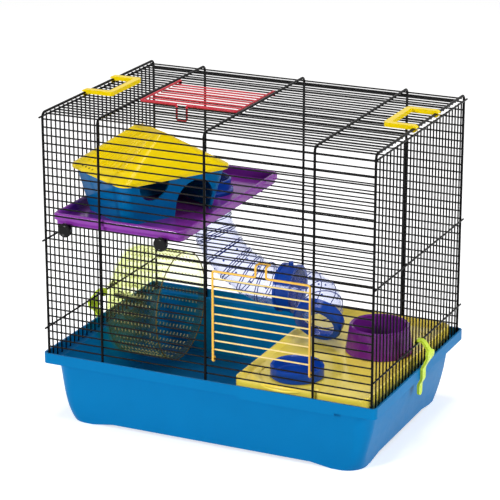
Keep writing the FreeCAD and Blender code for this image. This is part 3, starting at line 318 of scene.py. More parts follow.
@dataclass(frozen=True)
class ClearPlastic:
    """Clear tinted polystyrene: a colour filter face on, denser and darker along its edges."""

    name: str
    tint: str
    colour: str
    edge_colour: str
    face_density: float
    edge_density: float
    blend: float = 0.3
    roughness: float = 0.06
    streak_mm: float = 40.0
    streak_gloss: float = 0.08
    streak_depth_mm: float = 0.1
    streak_strength: float = 0.1
    ior: float = 1.58

    def build(self) -> bpy.types.Material:
        """Make the material.

        Returns:
            The finished material.
        """
        material, tree = new_material(self.name)
        place = add_node(tree, "ShaderNodeTexCoord").outputs["Object"]
        edge = add_node(tree, "ShaderNodeLayerWeight", {"Blend": self.blend}).outputs["Facing"]
        colour = mixed(tree, edge, self.colour, self.edge_colour)
        density = spread(tree, edge, self.face_density, self.edge_density)
        # flow streaks from the moulding gate
        streaks = noise(tree, place, self.streak_mm, detail=2.0)
        gloss = spread(tree, streaks, self.roughness, self.roughness + self.streak_gloss)
        normal = bumped(tree, streaks, self.streak_strength, self.streak_depth_mm)
        through = add_node(tree, "ShaderNodeBsdfTransparent", {"Color": linear(self.tint)})
        skin = add_node(
            tree,
            "ShaderNodeBsdfPrincipled",
            {"IOR": self.ior},
            {"Base Color": colour, "Roughness": gloss, "Normal": normal},
        )
        shader = add_node(
            tree,
            "ShaderNodeMixShader",
            links={0: density, 1: through.outputs["BSDF"], 2: skin.outputs["BSDF"]},
        )
        surface(tree, shader.outputs["Shader"])
        return material


@dataclass(frozen=True)
class DrawnSteel:
    """Bright drawn steel rod: fine marks along its length."""

    name: str
    colour: str
    roughness: float = 0.28
    gloss_range: tuple[float, float] = (-0.1, 0.15)
    mark_mm: float = 0.8
    mark_stretch: tuple[float, float, float] = (0.08, 1.0, 1.0)

    def build(self) -> bpy.types.Material:
        """Make the material.

        Returns:
            The finished material.
        """
        material, tree = new_material(self.name)
        place = add_node(tree, "ShaderNodeTexCoord").outputs["Object"]
        along = add_node(tree, "ShaderNodeMapping", {"Scale": self.mark_stretch}, {"Vector": place})
        marks = noise(tree, along.outputs["Vector"], self.mark_mm, detail=3.0)
        low, high = self.gloss_range
        gloss = spread(tree, marks, self.roughness + low, self.roughness + high)
        shader = add_node(
            tree,
            "ShaderNodeBsdfPrincipled",
            {"Base Color": linear(self.colour), "Metallic": 1.0},
            {"Roughness": gloss},
        )
        surface(tree, shader.outputs["BSDF"])
        return material


# the tray's sheen weight is a painted grazing sheen that stands in for the pale reflection on its end
# faces
TRAY_BLUE = MouldedPlastic("tray_blue_polypropylene", "#007BBA", "#006FAA", 0.34, shine=0.05, grazing_sheen=0.02)
HOUSE_BLUE = MouldedPlastic("house_blue_polystyrene", "#026CA8", "#015F9A", 0.12, shine=0.09)
YELLOW = MouldedPlastic("yellow_polystyrene", "#F8DC00", "#F1D000", 0.2)
PALE_YELLOW = MouldedPlastic("pale_yellow_polypropylene", "#FAE45E", "#F6DC48", 0.16, shine=0.5)
LIME = MouldedPlastic("lime_polypropylene", "#D2EC48", "#C2DF34", 0.26)
PURPLE = MouldedPlastic("purple_polystyrene", "#9038AA", "#7F2E9B", 0.15, shine=0.3)
DEEP_PURPLE = MouldedPlastic("deep_purple_polypropylene", "#6C2182", "#5E1A72", 0.16, shine=0.26)
ROYAL_BLUE = MouldedPlastic("royal_blue_polystyrene", "#1046A8", "#0C3994", 0.14, shine=0.17)
BLACK_MOULDING = MouldedPlastic("black_nylon", "#030304", "#020203", 0.14, shine=0.16)
BLACK_WIRE = CoatedWire("black_epoxy_wire", "#030304", "#08090B", shine=0.08)
AMBER_WIRE = CoatedWire("amber_epoxy_wire", "#F2BE4C", "#E8B03C", 0.3)
CREAM_WIRE = CoatedWire("cream_epoxy_wire", "#F4DC92", "#ECCB72", 0.3)
RED_WIRE = CoatedWire("red_epoxy_wire", "#BC2436", "#A21A2A", 0.3)
CLEAR_TUBE = ClearPlastic("clear_blue_polystyrene", "#F7F8FE", "#C9D4F8", "#2A459E", 0.02, 0.7, blend=0.1)
CLEAR_WHEEL = ClearPlastic(
    "clear_yellow_polystyrene", "#FAFCEC", "#FFFBD8", "#E2E29C", 0.01, 0.07, blend=0.15
)
WHEEL_GRIP = ClearPlastic("clear_yellow_grips", "#FAF8D8", "#FFFCDC", "#F2ECB4", 0.32, 0.5, blend=0.2)
TUBE_LINE = ClearPlastic("clear_deep_blue_polystyrene", "#4A62BC", "#223C98", "#16286E", 0.7, 0.95)
RIM_LINE = ClearPlastic("clear_amber_polystyrene", "#B79E44", "#8C7428", "#4E4012", 0.6, 0.95)
STEEL = DrawnSteel("drawn_steel", "#B9BCC0")


class Paintbox:
    """Makes each finish once and lays it on nodes and pieces."""

    def __init__(self) -> None:
        """Start with no finish made."""
        self.made: dict[str, bpy.types.Material] = {}

    def get(self, finish: Any) -> bpy.types.Material:
        """Give a finish's material.

        Args:
            finish: one of the finishes above.

        Returns:
            Its material, made the first time that it is asked for.
        """
        if finish.name not in self.made:
            self.made[finish.name] = finish.build()
        return self.made[finish.name]

    def dress(self, finish: Any, *names: str) -> None:
        """Lay a finish on CAD nodes.

        Args:
            finish: the finish.
            names: the nodes' names.
        """
        for name in names:
            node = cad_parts[name]
            if not node.material_slots:
                node.data.materials.append(None)
            for slot in node.material_slots:
                slot.material = self.get(finish)
            LOG.info("dressed %s in %s", name, finish.name)

    def dress_new(self, finish: Any, piece: bpy.types.Object) -> None:
        """Lay a finish on a new piece."""
        piece.data.materials.clear()
        piece.data.materials.append(self.get(finish))


def clear_selection() -> None:
    """Leave nothing selected, in object mode."""
    if bpy.context.mode != "OBJECT":
        bpy.ops.object.mode_set(mode="OBJECT")
    bpy.ops.object.select_all(action="DESELECT")


def only(piece: bpy.types.Object) -> None:
    """Select one object alone and make it the active one."""
    clear_selection()
    piece.select_set(True)
    bpy.context.view_layer.objects.active = piece


def started(name: str) -> bpy.types.Object:
    """Name the primitive that was just added and give it."""
    piece = bpy.context.active_object
    piece.name = name
    piece.data.name = name
    return piece


def edit_top(piece: bpy.types.Object) -> None:
    """Open a piece for editing with the faces that look up selected."""
    for face in piece.data.polygons:
        face.select = face.normal.z > FACES_UP
    bpy.ops.object.mode_set(mode="EDIT")
    bpy.ops.mesh.select_mode(type="FACE")


def joined(name: str, parts: Iterable[bpy.types.Object]) -> bpy.types.Object:
    """Join objects into one piece with its place in its mesh.

    Args:
        name: the piece's name.
        parts: the objects to join.

    Returns:
        The piece, at the origin.
    """
    parts = list(parts)
    clear_selection()
    for part in parts:
        part.select_set(True)
    bpy.context.view_layer.objects.active = parts[0]
    bpy.ops.object.join()
    piece = bpy.context.active_object
    piece.name = name
    piece.data.name = name
    bpy.ops.object.transform_apply(location=True, rotation=True, scale=True)
    return piece


def spun_ring(radius_mm: float, thickness_mm: float, steps: int) -> bpy.types.Object:
    """Spin a round bead into a ring about the Z axis.

    Args:
        radius_mm: the ring's radius, to the bead's middle.
        thickness_mm: the bead's radius.
        steps: how many steps the spin has.

    Returns:
        The ring, at the origin.
    """
    clear_selection()
    bpy.ops.mesh.primitive_circle_add(vertices=BEAD_SIDES, radius=thickness_mm * MM, location=(0, 0, 0))
    ring = started("ring")
    turn = Matrix.Rotation(RIGHT_ANGLE, 4, "X")
    ring.data.transform(Matrix.Translation((radius_mm * MM, 0, 0)) @ turn)
    bpy.ops.object.mode_set(mode="EDIT")
    bpy.ops.mesh.select_all(action="SELECT")
    bpy.ops.mesh.spin(steps=steps, angle=2 * math.pi, center=(0, 0, 0), axis=(0, 0, 1))
    bpy.ops.mesh.select_all(action="SELECT")
    bpy.ops.mesh.remove_doubles(threshold=WELD_GAP)
    bpy.ops.object.mode_set(mode="OBJECT")
    return ring


def copied(part: bpy.types.Object, move: Matrix) -> bpy.types.Object:
    """Copy a modelled shape, with a mesh of its own, to another place.

    Args:
        part: the shape to copy.
        move: where the copy goes, from where the shape is.

    Returns:
        The copy.
    """
    twin = part.copy()
    twin.data = part.data.copy()
    bpy.context.scene.collection.objects.link(twin)
    twin.matrix_world = move @ part.matrix_world
    return twin


def finish_piece(piece: bpy.types.Object, body: Body, paint: Paintbox, finish: Any) -> None:
    """Smooth a new piece, dress it and let it ride on its body.

    Args:
        piece: the piece, in place.
        body: the body it moves with.
        paint: where its finish comes from.
        finish: its finish.
    """
    only(piece)
    bpy.ops.object.mode_set(mode="EDIT")
    bpy.ops.mesh.select_all(action="SELECT")
    bpy.ops.mesh.normals_make_consistent(inside=False)
    bpy.ops.object.mode_set(mode="OBJECT")
    bpy.ops.object.shade_smooth_by_angle(angle=SMOOTH_ANGLE)
    paint.dress_new(finish, piece)
    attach(piece, body.value)
    LOG.info("built %s: %d faces", piece.name, len(piece.data.polygons))


@dataclass
class Hood:
    """The wire hood, its doors, handles and clips."""

    def dress(self, paint: Paintbox) -> None:
        """Lay the coats on the wires and the colours on the mouldings."""
        ribs = ("far_left_rib", "left_rib", "middle_rib", "right_rib", "far_right_rib")
        wires = ("hood_front_wires", "hood_top_wires", "hood_back_wires")
        panels = ("left_panel_wires", "right_panel_wires", "left_panel_rods", "right_panel_rods")
        paint.dress(BLACK_WIRE, *ribs, *wires, *panels)
        paint.dress(AMBER_WIRE, "front_door_frame")
        paint.dress(CREAM_WIRE, "front_door_wires")
        paint.dress(RED_WIRE, "top_door_frame", "top_door_wires")
        paint.dress(YELLOW, "left_handle", "right_handle")
        paint.dress(LIME, "left_clip", "right_clip")


@dataclass
class Floors:
    """The tray, the platform, the shelf with its fixings, and the bowls."""

    step_middle_mm: tuple[float, float] = (92.0, -88.0)
    step_radius_mm: float = 47.5
    step_width_mm: float = 9.0
    step_rise_mm: float = 1.3
    step_round_share: float = 0.6
    step_facets: int = 48
    step_from_deg: float = -38.0
    step_turn_deg: float = 150.0
    floor_mm: float = 88.0
    knob_ring_share: float = 0.66
    knob_ring_mm: float = 0.6
    knob_ring_sunk: float = 0.7
    knob_ring_facets: int = 40

    def build(self, paint: Paintbox) -> None:
        """Model the platform's step and the rings on the two knobs."""
        self.step(paint)
        for side, body in (("left", Body.LEFT_NUT), ("right", Body.RIGHT_NUT)):
            self.knob_ring(paint, side, body)

    def knob_ring(self, paint: Paintbox, side: str, body: Body) -> None:
        """Spin the raised ring on a shelf knob's face.

        Args:
            paint: where its finish comes from.
            side: the knob's side.
            body: the body that the knob turns with.
        """
        low, high = (Vector(corner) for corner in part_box(f"{side}_shelf_knob"))
        radius_mm = (high.x - low.x) / 2 / MM * self.knob_ring_share
        ring = spun_ring(radius_mm, self.knob_ring_mm, self.knob_ring_facets)
        sunk = self.knob_ring_mm * MM * self.knob_ring_sunk
        face = Vector(((low.x + high.x) / 2, low.y + sunk, (low.z + high.z) / 2))
        ring.data.transform(Matrix.Translation(face) @ Matrix.Rotation(RIGHT_ANGLE, 4, "X"))
        ring.name = f"{side}_knob_ring"
        finish_piece(ring, body, paint, BLACK_MOULDING)

    def step(self, paint: Paintbox) -> None:
        """Spin the low step that is moulded in the platform round the blue bowl's place."""
        clear_selection()
        middle = Vector((*self.step_middle_mm, self.floor_mm)) * MM
        bpy.ops.mesh.primitive_plane_add(size=1, location=(0, 0, 0))
        step = started("platform_step")
        turn = Matrix.Rotation(RIGHT_ANGLE, 4, "X")
        size = Matrix.Diagonal((self.step_width_mm * MM, 2 * self.step_rise_mm * MM, 1, 1))
        spot = Matrix.Translation(middle + Vector((self.step_radius_mm * MM, 0, 0)))
        step.data.transform(spot @ turn @ size)
        bpy.ops.object.mode_set(mode="EDIT")
        bpy.ops.mesh.select_all(action="SELECT")
        rounding = self.step_rise_mm * MM * self.step_round_share
        bpy.ops.mesh.bevel(offset=rounding, segments=2, affect="VERTICES")
        bpy.ops.mesh.select_all(action="SELECT")
        sweep = math.radians(self.step_turn_deg)
        bpy.ops.mesh.spin(
            steps=self.step_facets, angle=sweep, center=middle, axis=(0, 0, 1), use_auto_merge=False
        )
        bpy.ops.object.mode_set(mode="OBJECT")
        start = Matrix.Translation(middle) @ Matrix.Rotation(math.radians(self.step_from_deg), 4, "Z")
        step.data.transform(start @ Matrix.Translation(-middle))
        finish_piece(step, Body.CAGE, paint, PALE_YELLOW)

    def dress(self, paint: Paintbox) -> None:
        """Lay the moulded colours."""
        paint.dress(TRAY_BLUE, "tray")
        paint.dress(PALE_YELLOW, "platform")
        paint.dress(PURPLE, "shelf")
        paint.dress(DEEP_PURPLE, "purple_bowl")
        paint.dress(ROYAL_BLUE, "blue_bowl")
        fixings = ("left_shelf_stud", "right_shelf_stud", "left_shelf_knob", "right_shelf_knob")
        paint.dress(BLACK_MOULDING, *fixings)


@dataclass
class House:
    """The hut on the shelf and its lift-off roof, which is moulded like thatch on one slope."""

    middle_mm: tuple[float, float]
    eave_top_mm: float
    ridge_top_mm: float
    turn_deg: float = 60.0
    ridge_edge_mm: float = 7.0
    ridge_half_mm: float = 21.0
    eave_edge_mm: float = 76.0
    eave_half_mm: float = 42.0
    straw_count: int = 15
    straw_radius_mm: float = 2.6
    straw_sink_mm: float = 0.9
    straw_sides: int = 10
    straw_tip: float = 0.1
    straw_taper: float = 0.35
    straw_sway: float = 0.05
    straw_wave: float = 2.3
    straw_top_share: float = 0.92
    straw_top_down: float = 0.04
    straw_top_step: float = 0.05
    straw_foot_share: float = 0.95
    straw_foot_down: float = 0.86
    straw_foot_step: float = 0.04
    roll_count: int = 7
    roll_margin_mm: float = 1.0
    roll_sink_mm: float = 0.2
    roll_sway_mm: float = 1.0
    roll_wave: float = 1.7
    vent_count: int = 5
    vent_radius_mm: float = 1.1
    vent_sides: int = 12
    vent_height_mm: float = 0.4
    vent_lip_share: float = 0.4
    vent_sink_mm: float = 0.2
    vent_from: float = 0.25
    vent_run: float = 0.7
    vent_down: float = 0.95

    @classmethod
    def measured(cls, skirt_mm: float = 4.0) -> "House":
        """Take the house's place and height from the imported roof.

        Args:
            skirt_mm: the height of the upright skirt below the roof's slopes.

        Returns:
            The house.
        """
        low, high = (Vector(corner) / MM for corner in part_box("house_roof"))
        middle = (low + high) / 2
        return cls((middle.x, middle.y), low.z + skirt_mm, high.z)

    def place(self) -> Matrix:
        """Give the matrix from the house's own frame to the cage's, in metres."""
        spot = Vector((*self.middle_mm, 0)) * MM
        return Matrix.Translation(spot) @ Matrix.Rotation(math.radians(self.turn_deg), 4, "Z")

    def slope_spot(self, across: float, down: float) -> Vector:
        """Give a spot on the left slope, in metres in the house's frame.

        Args:
            across: -1 to 1 along the ridge.
            down: 0 at the ridge to 1 at the eave.

        Returns:
            The spot.
        """
        half = self.ridge_half_mm + (self.eave_half_mm - self.ridge_half_mm) * down
        out = self.ridge_edge_mm + (self.eave_edge_mm - self.ridge_edge_mm) * down
        height = self.ridge_top_mm + (self.eave_top_mm - self.ridge_top_mm) * down
        return Vector((-out, across * half, height)) * MM

    def straw(self) -> bpy.types.Object:
        """Model one straw roll of unit length along Z, thin at both ends.

        Returns:
            The roll, standing on the origin.
        """
        clear_selection()
        bpy.ops.mesh.primitive_cylinder_add(
            vertices=self.straw_sides,
            radius=self.straw_radius_mm * MM,
            depth=1 - 2 * self.straw_tip,
            location=(0, 0, 0.5),
        )
        roll = started("straw_roll")
        bpy.ops.object.transform_apply(location=True, rotation=False, scale=False)
        for level, reach in ((1 - self.straw_tip, self.straw_tip), (self.straw_tip, -self.straw_tip)):
            for face in roll.data.polygons:
                at_end = abs(face.center.z - level) < self.straw_tip / 2
                face.select = at_end and abs(face.normal.z) > FACES_UP
            bpy.ops.object.mode_set(mode="EDIT")
            bpy.ops.mesh.select_mode(type="FACE")
            bpy.ops.mesh.extrude_region_move(TRANSFORM_OT_translate={"value": (0, 0, reach)})
            bpy.ops.transform.resize(value=(self.straw_taper, self.straw_taper, 1.0))
            bpy.ops.mesh.select_all(action="DESELECT")
            bpy.ops.object.mode_set(mode="OBJECT")
        return roll

    def laid(self, roll: bpy.types.Object, start: Vector, end: Vector, sink: Vector) -> bpy.types.Object:
        """Lay a copy of the straw roll between two spots, sunk in the roof.

        Args:
            roll: the modelled roll.
            start: one end, in the house's frame.
            end: the other end.
            sink: how far and which way the roll is sunk.

        Returns:
            The copy.
        """
        run = end - start
        turn = run.to_track_quat("Z", "Y").to_matrix().to_4x4()
        length = Matrix.Diagonal((1, 1, run.length, 1))
        return copied(roll, self.place() @ Matrix.Translation(start + sink) @ turn @ length)

    def build(self, paint: Paintbox) -> None:
        """Model the straw rolls of the left slope and the ridge, and the small vents by the eave."""
        fall = self.slope_spot(0, 1) - self.slope_spot(0, 0)
        along = self.slope_spot(1, 0) - self.slope_spot(0, 0)
        normal = along.cross(fall).normalized()
        if normal.z < 0:
            normal = -normal
        sink = normal * (-self.straw_sink_mm * MM)
        roll = self.straw()
        made = []
        for number in range(self.straw_count):
            across = -1 + 2 * number / (self.straw_count - 1)
            sway = self.straw_sway * math.sin(number * self.straw_wave)
            top_down = self.straw_top_down + self.straw_top_step * (number % 3)
            foot_down = self.straw_foot_down + self.straw_foot_step * (number % 2)
            top = self.slope_spot(across * self.straw_top_share + sway, top_down)
            foot = self.slope_spot(across * self.straw_foot_share - sway, foot_down)
            made.append(self.laid(roll, top, foot, sink))
        ridge_sink = Vector((0, 0, -(self.straw_radius_mm + self.roll_sink_mm) * MM))
        height = self.ridge_top_mm * MM
        side = (self.ridge_edge_mm - self.roll_margin_mm) * MM
        for number in range(self.roll_count):
            across = (-1 + 2 * number / (self.roll_count - 1)) * self.ridge_half_mm * MM
            sway = self.roll_sway_mm * MM * math.sin(number * self.roll_wave)
            start = Vector((-side, across, height))
            end = Vector((side, across + sway, height))
            made.append(self.laid(roll, start, end, ridge_sink))
        bpy.data.objects.remove(roll)
        piece = joined("roof_straw", made)
        finish_piece(piece, Body.ROOF, paint, YELLOW)
        self.vents(paint, normal)

    def vents(self, paint: Paintbox, normal: Vector) -> None:
        """Model the row of small vents above the left eave.

        Args:
            paint: where their finish comes from.
            normal: the slope's direction, in the house's frame.
        """
        clear_selection()
        bpy.ops.mesh.primitive_cylinder_add(
            vertices=self.vent_sides,
            radius=self.vent_radius_mm * MM,
            depth=self.vent_height_mm * MM,
            location=(0, 0, 0),
        )
        vent = started("roof_vent")
        edit_top(vent)
        lip = self.vent_radius_mm * MM * self.vent_lip_share
        bpy.ops.mesh.inset(thickness=lip, depth=-self.vent_sink_mm * MM)
        bpy.ops.object.mode_set(mode="OBJECT")
        turn = normal.to_track_quat("Z", "Y").to_matrix().to_4x4()
        made = []
        for number in range(self.vent_count):
            across = self.vent_from + self.vent_run * number / (self.vent_count - 1)
            spot = self.slope_spot(across, self.vent_down)
            made.append(copied(vent, self.place() @ Matrix.Translation(spot) @ turn))
        bpy.data.objects.remove(vent)
        piece = joined("roof_vents", made)
        finish_piece(piece, Body.ROOF, paint, BLACK_MOULDING)

    def dress(self, paint: Paintbox) -> None:
        """Lay the moulded colours."""
        paint.dress(HOUSE_BLUE, "house_body")
        paint.dress(YELLOW, "house_roof")


@dataclass
class TubeRun:
    """The clear tube from the shelf to the floor, with its collars."""

    sleeve_x_mm: float = 11.0
    axis_y_mm: float = 50.0
    axis_z_mm: float = 139.0
    bend_mm: float = 97.0
    tube_radius_mm: float = 25.0
    sleeve_length_mm: float = 21.0
    elbow_reach_mm: float = 42.5
    elbow_bend_mm: float = 36.0
    elbow_turn_deg: float = 30.0
    hole_radius_mm: float = 1.3
    hole_proud_mm: float = 0.25
    hole_sides: int = 12
    hole_lip_share: float = 0.45
    upper_holes_deg: tuple[float, ...] = (19.0, 45.0, 58.0, 71.0, 84.0)
    upper_hole_turns_deg: tuple[float, ...] = (-40.0, 10.0, 60.0, 140.0)
    elbow_holes_deg: tuple[float, ...] = (20.0, 45.0, 70.0)
    elbow_hole_turns_deg: tuple[float, ...] = (-20.0, 35.0, 80.0, 125.0)
    rib_count: int = 6
    rib_width_mm: float = 3.0
    rib_proud_mm: float = 1.0
    line_radius_mm: float = 0.6
    line_sink_mm: float = 0.3
    line_facets: int = 56
    bend_deg: float = 90.0
    elbow_lines_deg: tuple[float, ...] = (14.0, 38.0, 62.0, 84.0)

    def air_hole(self) -> bpy.types.Object:
        """Model the moulded ring round one air hole, on the Z axis.

        Returns:
            The ring, standing on the origin.
        """
        clear_selection()
        depth = self.hole_proud_mm * MM * 2
        bpy.ops.mesh.primitive_cylinder_add(
            vertices=self.hole_sides, radius=self.hole_radius_mm * MM, depth=depth
        )
        ring = started("air_hole")
        bpy.ops.object.mode_set(mode="EDIT")
        bpy.ops.mesh.select_mode(type="FACE")
        bpy.ops.mesh.select_all(action="DESELECT")
        bpy.ops.object.mode_set(mode="OBJECT")
        edit_top(ring)
        lip = self.hole_radius_mm * MM * self.hole_lip_share
        bpy.ops.mesh.inset(thickness=lip, depth=-self.hole_proud_mm * MM)
        bpy.ops.object.mode_set(mode="OBJECT")
        return ring

    def facing(self, spot_mm: Vector, out: Vector) -> Matrix:
        """Give a matrix at a spot in millimetres with Z along a direction."""
        return Matrix.Translation(spot_mm * MM) @ out.to_track_quat("Z", "Y").to_matrix().to_4x4()

    def upper_middle(self, along: float) -> Vector:
        """Give the upper tube's middle at an angle along its bend, in radians."""
        return Vector((
            self.sleeve_x_mm - self.bend_mm * math.cos(along),
            self.axis_y_mm,
            self.axis_z_mm + self.bend_mm - self.bend_mm * math.sin(along),
        ))

    def upper_spot(self, along_deg: float, around_deg: float) -> Matrix:
        """Give a place on the upper tube's bend, with Z out of its wall.

        Args:
            along_deg: angle along the bend, from its top.
            around_deg: angle round the tube, from its front side upwards.

        Returns:
            The place as a matrix.
        """
        along = math.radians(along_deg)
        around = math.radians(around_deg)
        inner_way = Vector((math.cos(along), 0, math.sin(along)))
        out = Vector((0, -1, 0)) * math.cos(around) + inner_way * math.sin(around)
        return self.facing(self.upper_middle(along) + out * self.tube_radius_mm, out)

    def upper_ring(self, along_deg: float) -> Matrix:
        """Give the place of a ring round the upper tube at an angle along its bend."""
        along = math.radians(along_deg)
        return self.facing(self.upper_middle(along), Vector((math.sin(along), 0, -math.cos(along))))

    def elbow_outward(self, along: float) -> Vector:
        """Give the way out of the elbow's bend at an angle along it, in radians."""
        return Vector((math.sin(along), math.cos(along), 0))

    def elbow_middle(self, along: float) -> Vector:
        """Give the elbow's middle at an angle along its bend, in radians, in the elbow's own frame."""
        straight = self.elbow_reach_mm - self.elbow_bend_mm
        return Vector((straight, -self.elbow_bend_mm, 0)) + self.elbow_outward(along) * self.elbow_bend_mm

    def elbow_place(self, spot: Vector, way: Vector) -> Matrix:
        """Give a place of the elbow's own frame in the cage's frame, with Z along a direction."""
        turn = Matrix.Rotation(math.radians(self.elbow_turn_deg), 3, "X")
        start = Vector((self.sleeve_x_mm + self.sleeve_length_mm, self.axis_y_mm, self.axis_z_mm))
        return self.facing(start + turn @ spot, turn @ way)

    def elbow_spot(self, along_deg: float, around_deg: float) -> Matrix:
        """Give a place on the elbow's bend, with Z out of its wall.

        Args:
            along_deg: angle along the bend, from the sleeve.
            around_deg: angle round the tube, from its outer side upwards.

        Returns:
            The place as a matrix.
        """
        along = math.radians(along_deg)
        around = math.radians(around_deg)
        out = self.elbow_outward(along) * math.cos(around) + Vector((0, 0, 1)) * math.sin(around)
        return self.elbow_place(self.elbow_middle(along) + out * self.tube_radius_mm, out)

    def elbow_ring(self, along_deg: float) -> Matrix:
        """Give the place of a ring round the elbow at an angle along its bend."""
        along = math.radians(along_deg)
        return self.elbow_place(self.elbow_middle(along), Vector((math.cos(along), -math.sin(along), 0)))

    def lines(self, paint: Paintbox) -> None:
        """Model the paired lines at the tube's ribs and the single ones round its elbow."""
        made = []
        rib_radius = self.tube_radius_mm + self.rib_proud_mm - self.line_sink_mm
        on_rib = spun_ring(rib_radius, self.line_radius_mm, self.line_facets)
        spread = math.degrees(self.rib_width_mm / 2 / self.bend_mm)
        for number in range(1, self.rib_count + 1):
            middle = self.bend_deg * number / (self.rib_count + 1)
            for side in (-spread, spread):
                made.append(copied(on_rib, self.upper_ring(middle + side)))
        on_tube = spun_ring(self.tube_radius_mm, self.line_radius_mm, self.line_facets)
        for along in self.elbow_lines_deg:
            made.append(copied(on_tube, self.elbow_ring(along)))
        bpy.data.objects.remove(on_rib)
        bpy.data.objects.remove(on_tube)
        piece = joined("tube_lines", made)
        finish_piece(piece, Body.CAGE, paint, TUBE_LINE)

    def build(self, paint: Paintbox) -> None:
        """Model the lines and the air holes along the tube."""
        self.lines(paint)
        ring = self.air_hole()
        spots = []
        for along in self.upper_holes_deg:
            for around in self.upper_hole_turns_deg:
                spots.append(self.upper_spot(along, around))
        for along in self.elbow_holes_deg:
            for around in self.elbow_hole_turns_deg:
                spots.append(self.elbow_spot(along, around))
        holes = [copied(ring, spot) for spot in spots]
        bpy.data.objects.remove(ring)
        piece = joined("tube_air_holes", holes)
        finish_piece(piece, Body.CAGE, paint, ROYAL_BLUE)

    def dress(self, paint: Paintbox) -> None:
        """Lay the clear and the solid blue plastics."""
        paint.dress(CLEAR_TUBE, "upper_tube", "lower_elbow")
        paint.dress(ROYAL_BLUE, "tube_top_collar", "tube_middle_collar", "tube_mouth_ring")


@dataclass
class RunningWheel:
    """The clear running wheel on its bracket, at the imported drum's place."""

    back_x_mm: float
    axis_y_mm: float
    axis_z_mm: float
    radius_mm: float
    width_mm: float
    disc_wall_mm: float = 2.0
    ring_shares: tuple[float, ...] = (0.22, 0.4, 0.58, 0.76, 0.94)
    ring_thickness_mm: float = 1.0
    ring_facets: int = 72
    bar_count: int = 48
    bar_width_mm: float = 1.3
    bar_height_mm: float = 1.6
    bar_bevel_mm: float = 0.3
    rung_count: int = 36
    tooth_count: int = 11
    tooth_mm: tuple[float, float, float] = (1.4, 4.2, 0.9)
    tooth_taper: tuple[float, float, float] = (0.55, 0.85, 1.0)
    tooth_sunk: float = 0.3
    tooth_margin_mm: float = 11.0
    rim_line_mm: float = 0.7
    rim_facets: int = 96

    @classmethod
    def measured(cls) -> "RunningWheel":
        """Take the wheel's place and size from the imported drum.

        Returns:
            The wheel.
        """
        low, high = (Vector(corner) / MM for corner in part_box("wheel_drum"))
        middle = (low + high) / 2
        return cls(low.x, middle.y, middle.z, (high.z - low.z) / 2, high.x - low.x)

    def spot(self) -> Vector:
        """Give the middle of the back disc's inner face, in metres."""
        return Vector((self.back_x_mm + self.disc_wall_mm, self.axis_y_mm, self.axis_z_mm)) * MM

    def rings(self) -> list[bpy.types.Object]:
        """Model the raised rings of the back disc.

        Returns:
            The rings.
        """
        made = []
        for share in self.ring_shares:
            ring = spun_ring(share * self.radius_mm, self.ring_thickness_mm, self.ring_facets)
            ring.data.transform(Matrix.Translation(self.spot()) @ Matrix.Rotation(RIGHT_ANGLE, 4, "Y"))
            made.append(ring)
        return made

    def bars(self) -> list[bpy.types.Object]:
        """Model the ladder of radial bars between the rings.

        Returns:
            The bars.
        """
        low = self.ring_shares[0] * self.radius_mm
        high = self.ring_shares[-1] * self.radius_mm
        clear_selection()
        middle = self.spot() + Vector((0, 0, (low + high) / 2 * MM))
        bpy.ops.mesh.primitive_cube_add(size=1, location=middle)
        bar = started("wheel_bar")
        bar.scale = (self.bar_height_mm * MM, self.bar_width_mm * MM, (high - low) * MM)
        bpy.ops.object.transform_apply(location=False, rotation=False, scale=True)
        bpy.ops.object.mode_set(mode="EDIT")
        bpy.ops.mesh.select_all(action="SELECT")
        bpy.ops.mesh.bevel(offset=self.bar_bevel_mm * MM, segments=1)
        bpy.ops.object.mode_set(mode="OBJECT")
        made = [bar]
        to_axis = Matrix.Translation(self.spot())
        for number in range(1, self.bar_count):
            turn = Matrix.Rotation(2 * math.pi * number / self.bar_count, 4, "X")
            made.append(copied(bar, to_axis @ turn @ to_axis.inverted()))
        return made

    def teeth(self) -> list[bpy.types.Object]:
        """Model the rows of small grip teeth on the drum's rungs.

        Returns:
            The teeth.
        """
        run = self.width_mm - 2 * self.tooth_margin_mm
        reach = self.radius_mm - self.disc_wall_mm - self.tooth_mm[2] * self.tooth_sunk
        clear_selection()
        bpy.ops.mesh.primitive_cube_add(size=1, location=(0, 0, 0))
        tooth = started("wheel_tooth")
        tooth.data.transform(Matrix.Diagonal((*(value * MM for value in self.tooth_mm), 1)))
        edit_top(tooth)
        bpy.ops.transform.resize(value=self.tooth_taper)
        bpy.ops.object.mode_set(mode="OBJECT")
        made = []
        axis = Vector((0, self.axis_y_mm, self.axis_z_mm)) * MM
        for rung in range(self.rung_count):
            turn = Matrix.Rotation(2 * math.pi * (rung + 0.5) / self.rung_count, 4, "X")
            for number in range(self.tooth_count):
                along = self.back_x_mm + self.tooth_margin_mm + run * number / (self.tooth_count - 1)
                spot = Vector((along, 0, -reach)) * MM
                made.append(copied(tooth, Matrix.Translation(axis) @ turn @ Matrix.Translation(spot)))
        bpy.data.objects.remove(tooth)
        return made

    def rim_line(self) -> bpy.types.Object:
        """Spin the thin bead along the drum's open edge.

        Returns:
            The bead.
        """
        bead = spun_ring(self.radius_mm - self.rim_line_mm, self.rim_line_mm, self.rim_facets)
        front_x = self.back_x_mm + self.width_mm - self.rim_line_mm
        front = Vector((front_x, self.axis_y_mm, self.axis_z_mm)) * MM
        bead.data.transform(Matrix.Translation(front) @ Matrix.Rotation(RIGHT_ANGLE, 4, "Y"))
        bead.name = "wheel_rim_line"
        return bead

    def build(self, paint: Paintbox) -> None:
        """Model the ladder on the wheel's back disc, the teeth on its rungs and its rim line."""
        piece = joined("wheel_ladder", self.rings() + self.bars())
        finish_piece(piece, Body.WHEEL, paint, CLEAR_WHEEL)
        piece = joined("wheel_teeth", self.teeth())
        finish_piece(piece, Body.WHEEL, paint, WHEEL_GRIP)
        finish_piece(self.rim_line(), Body.WHEEL, paint, RIM_LINE)

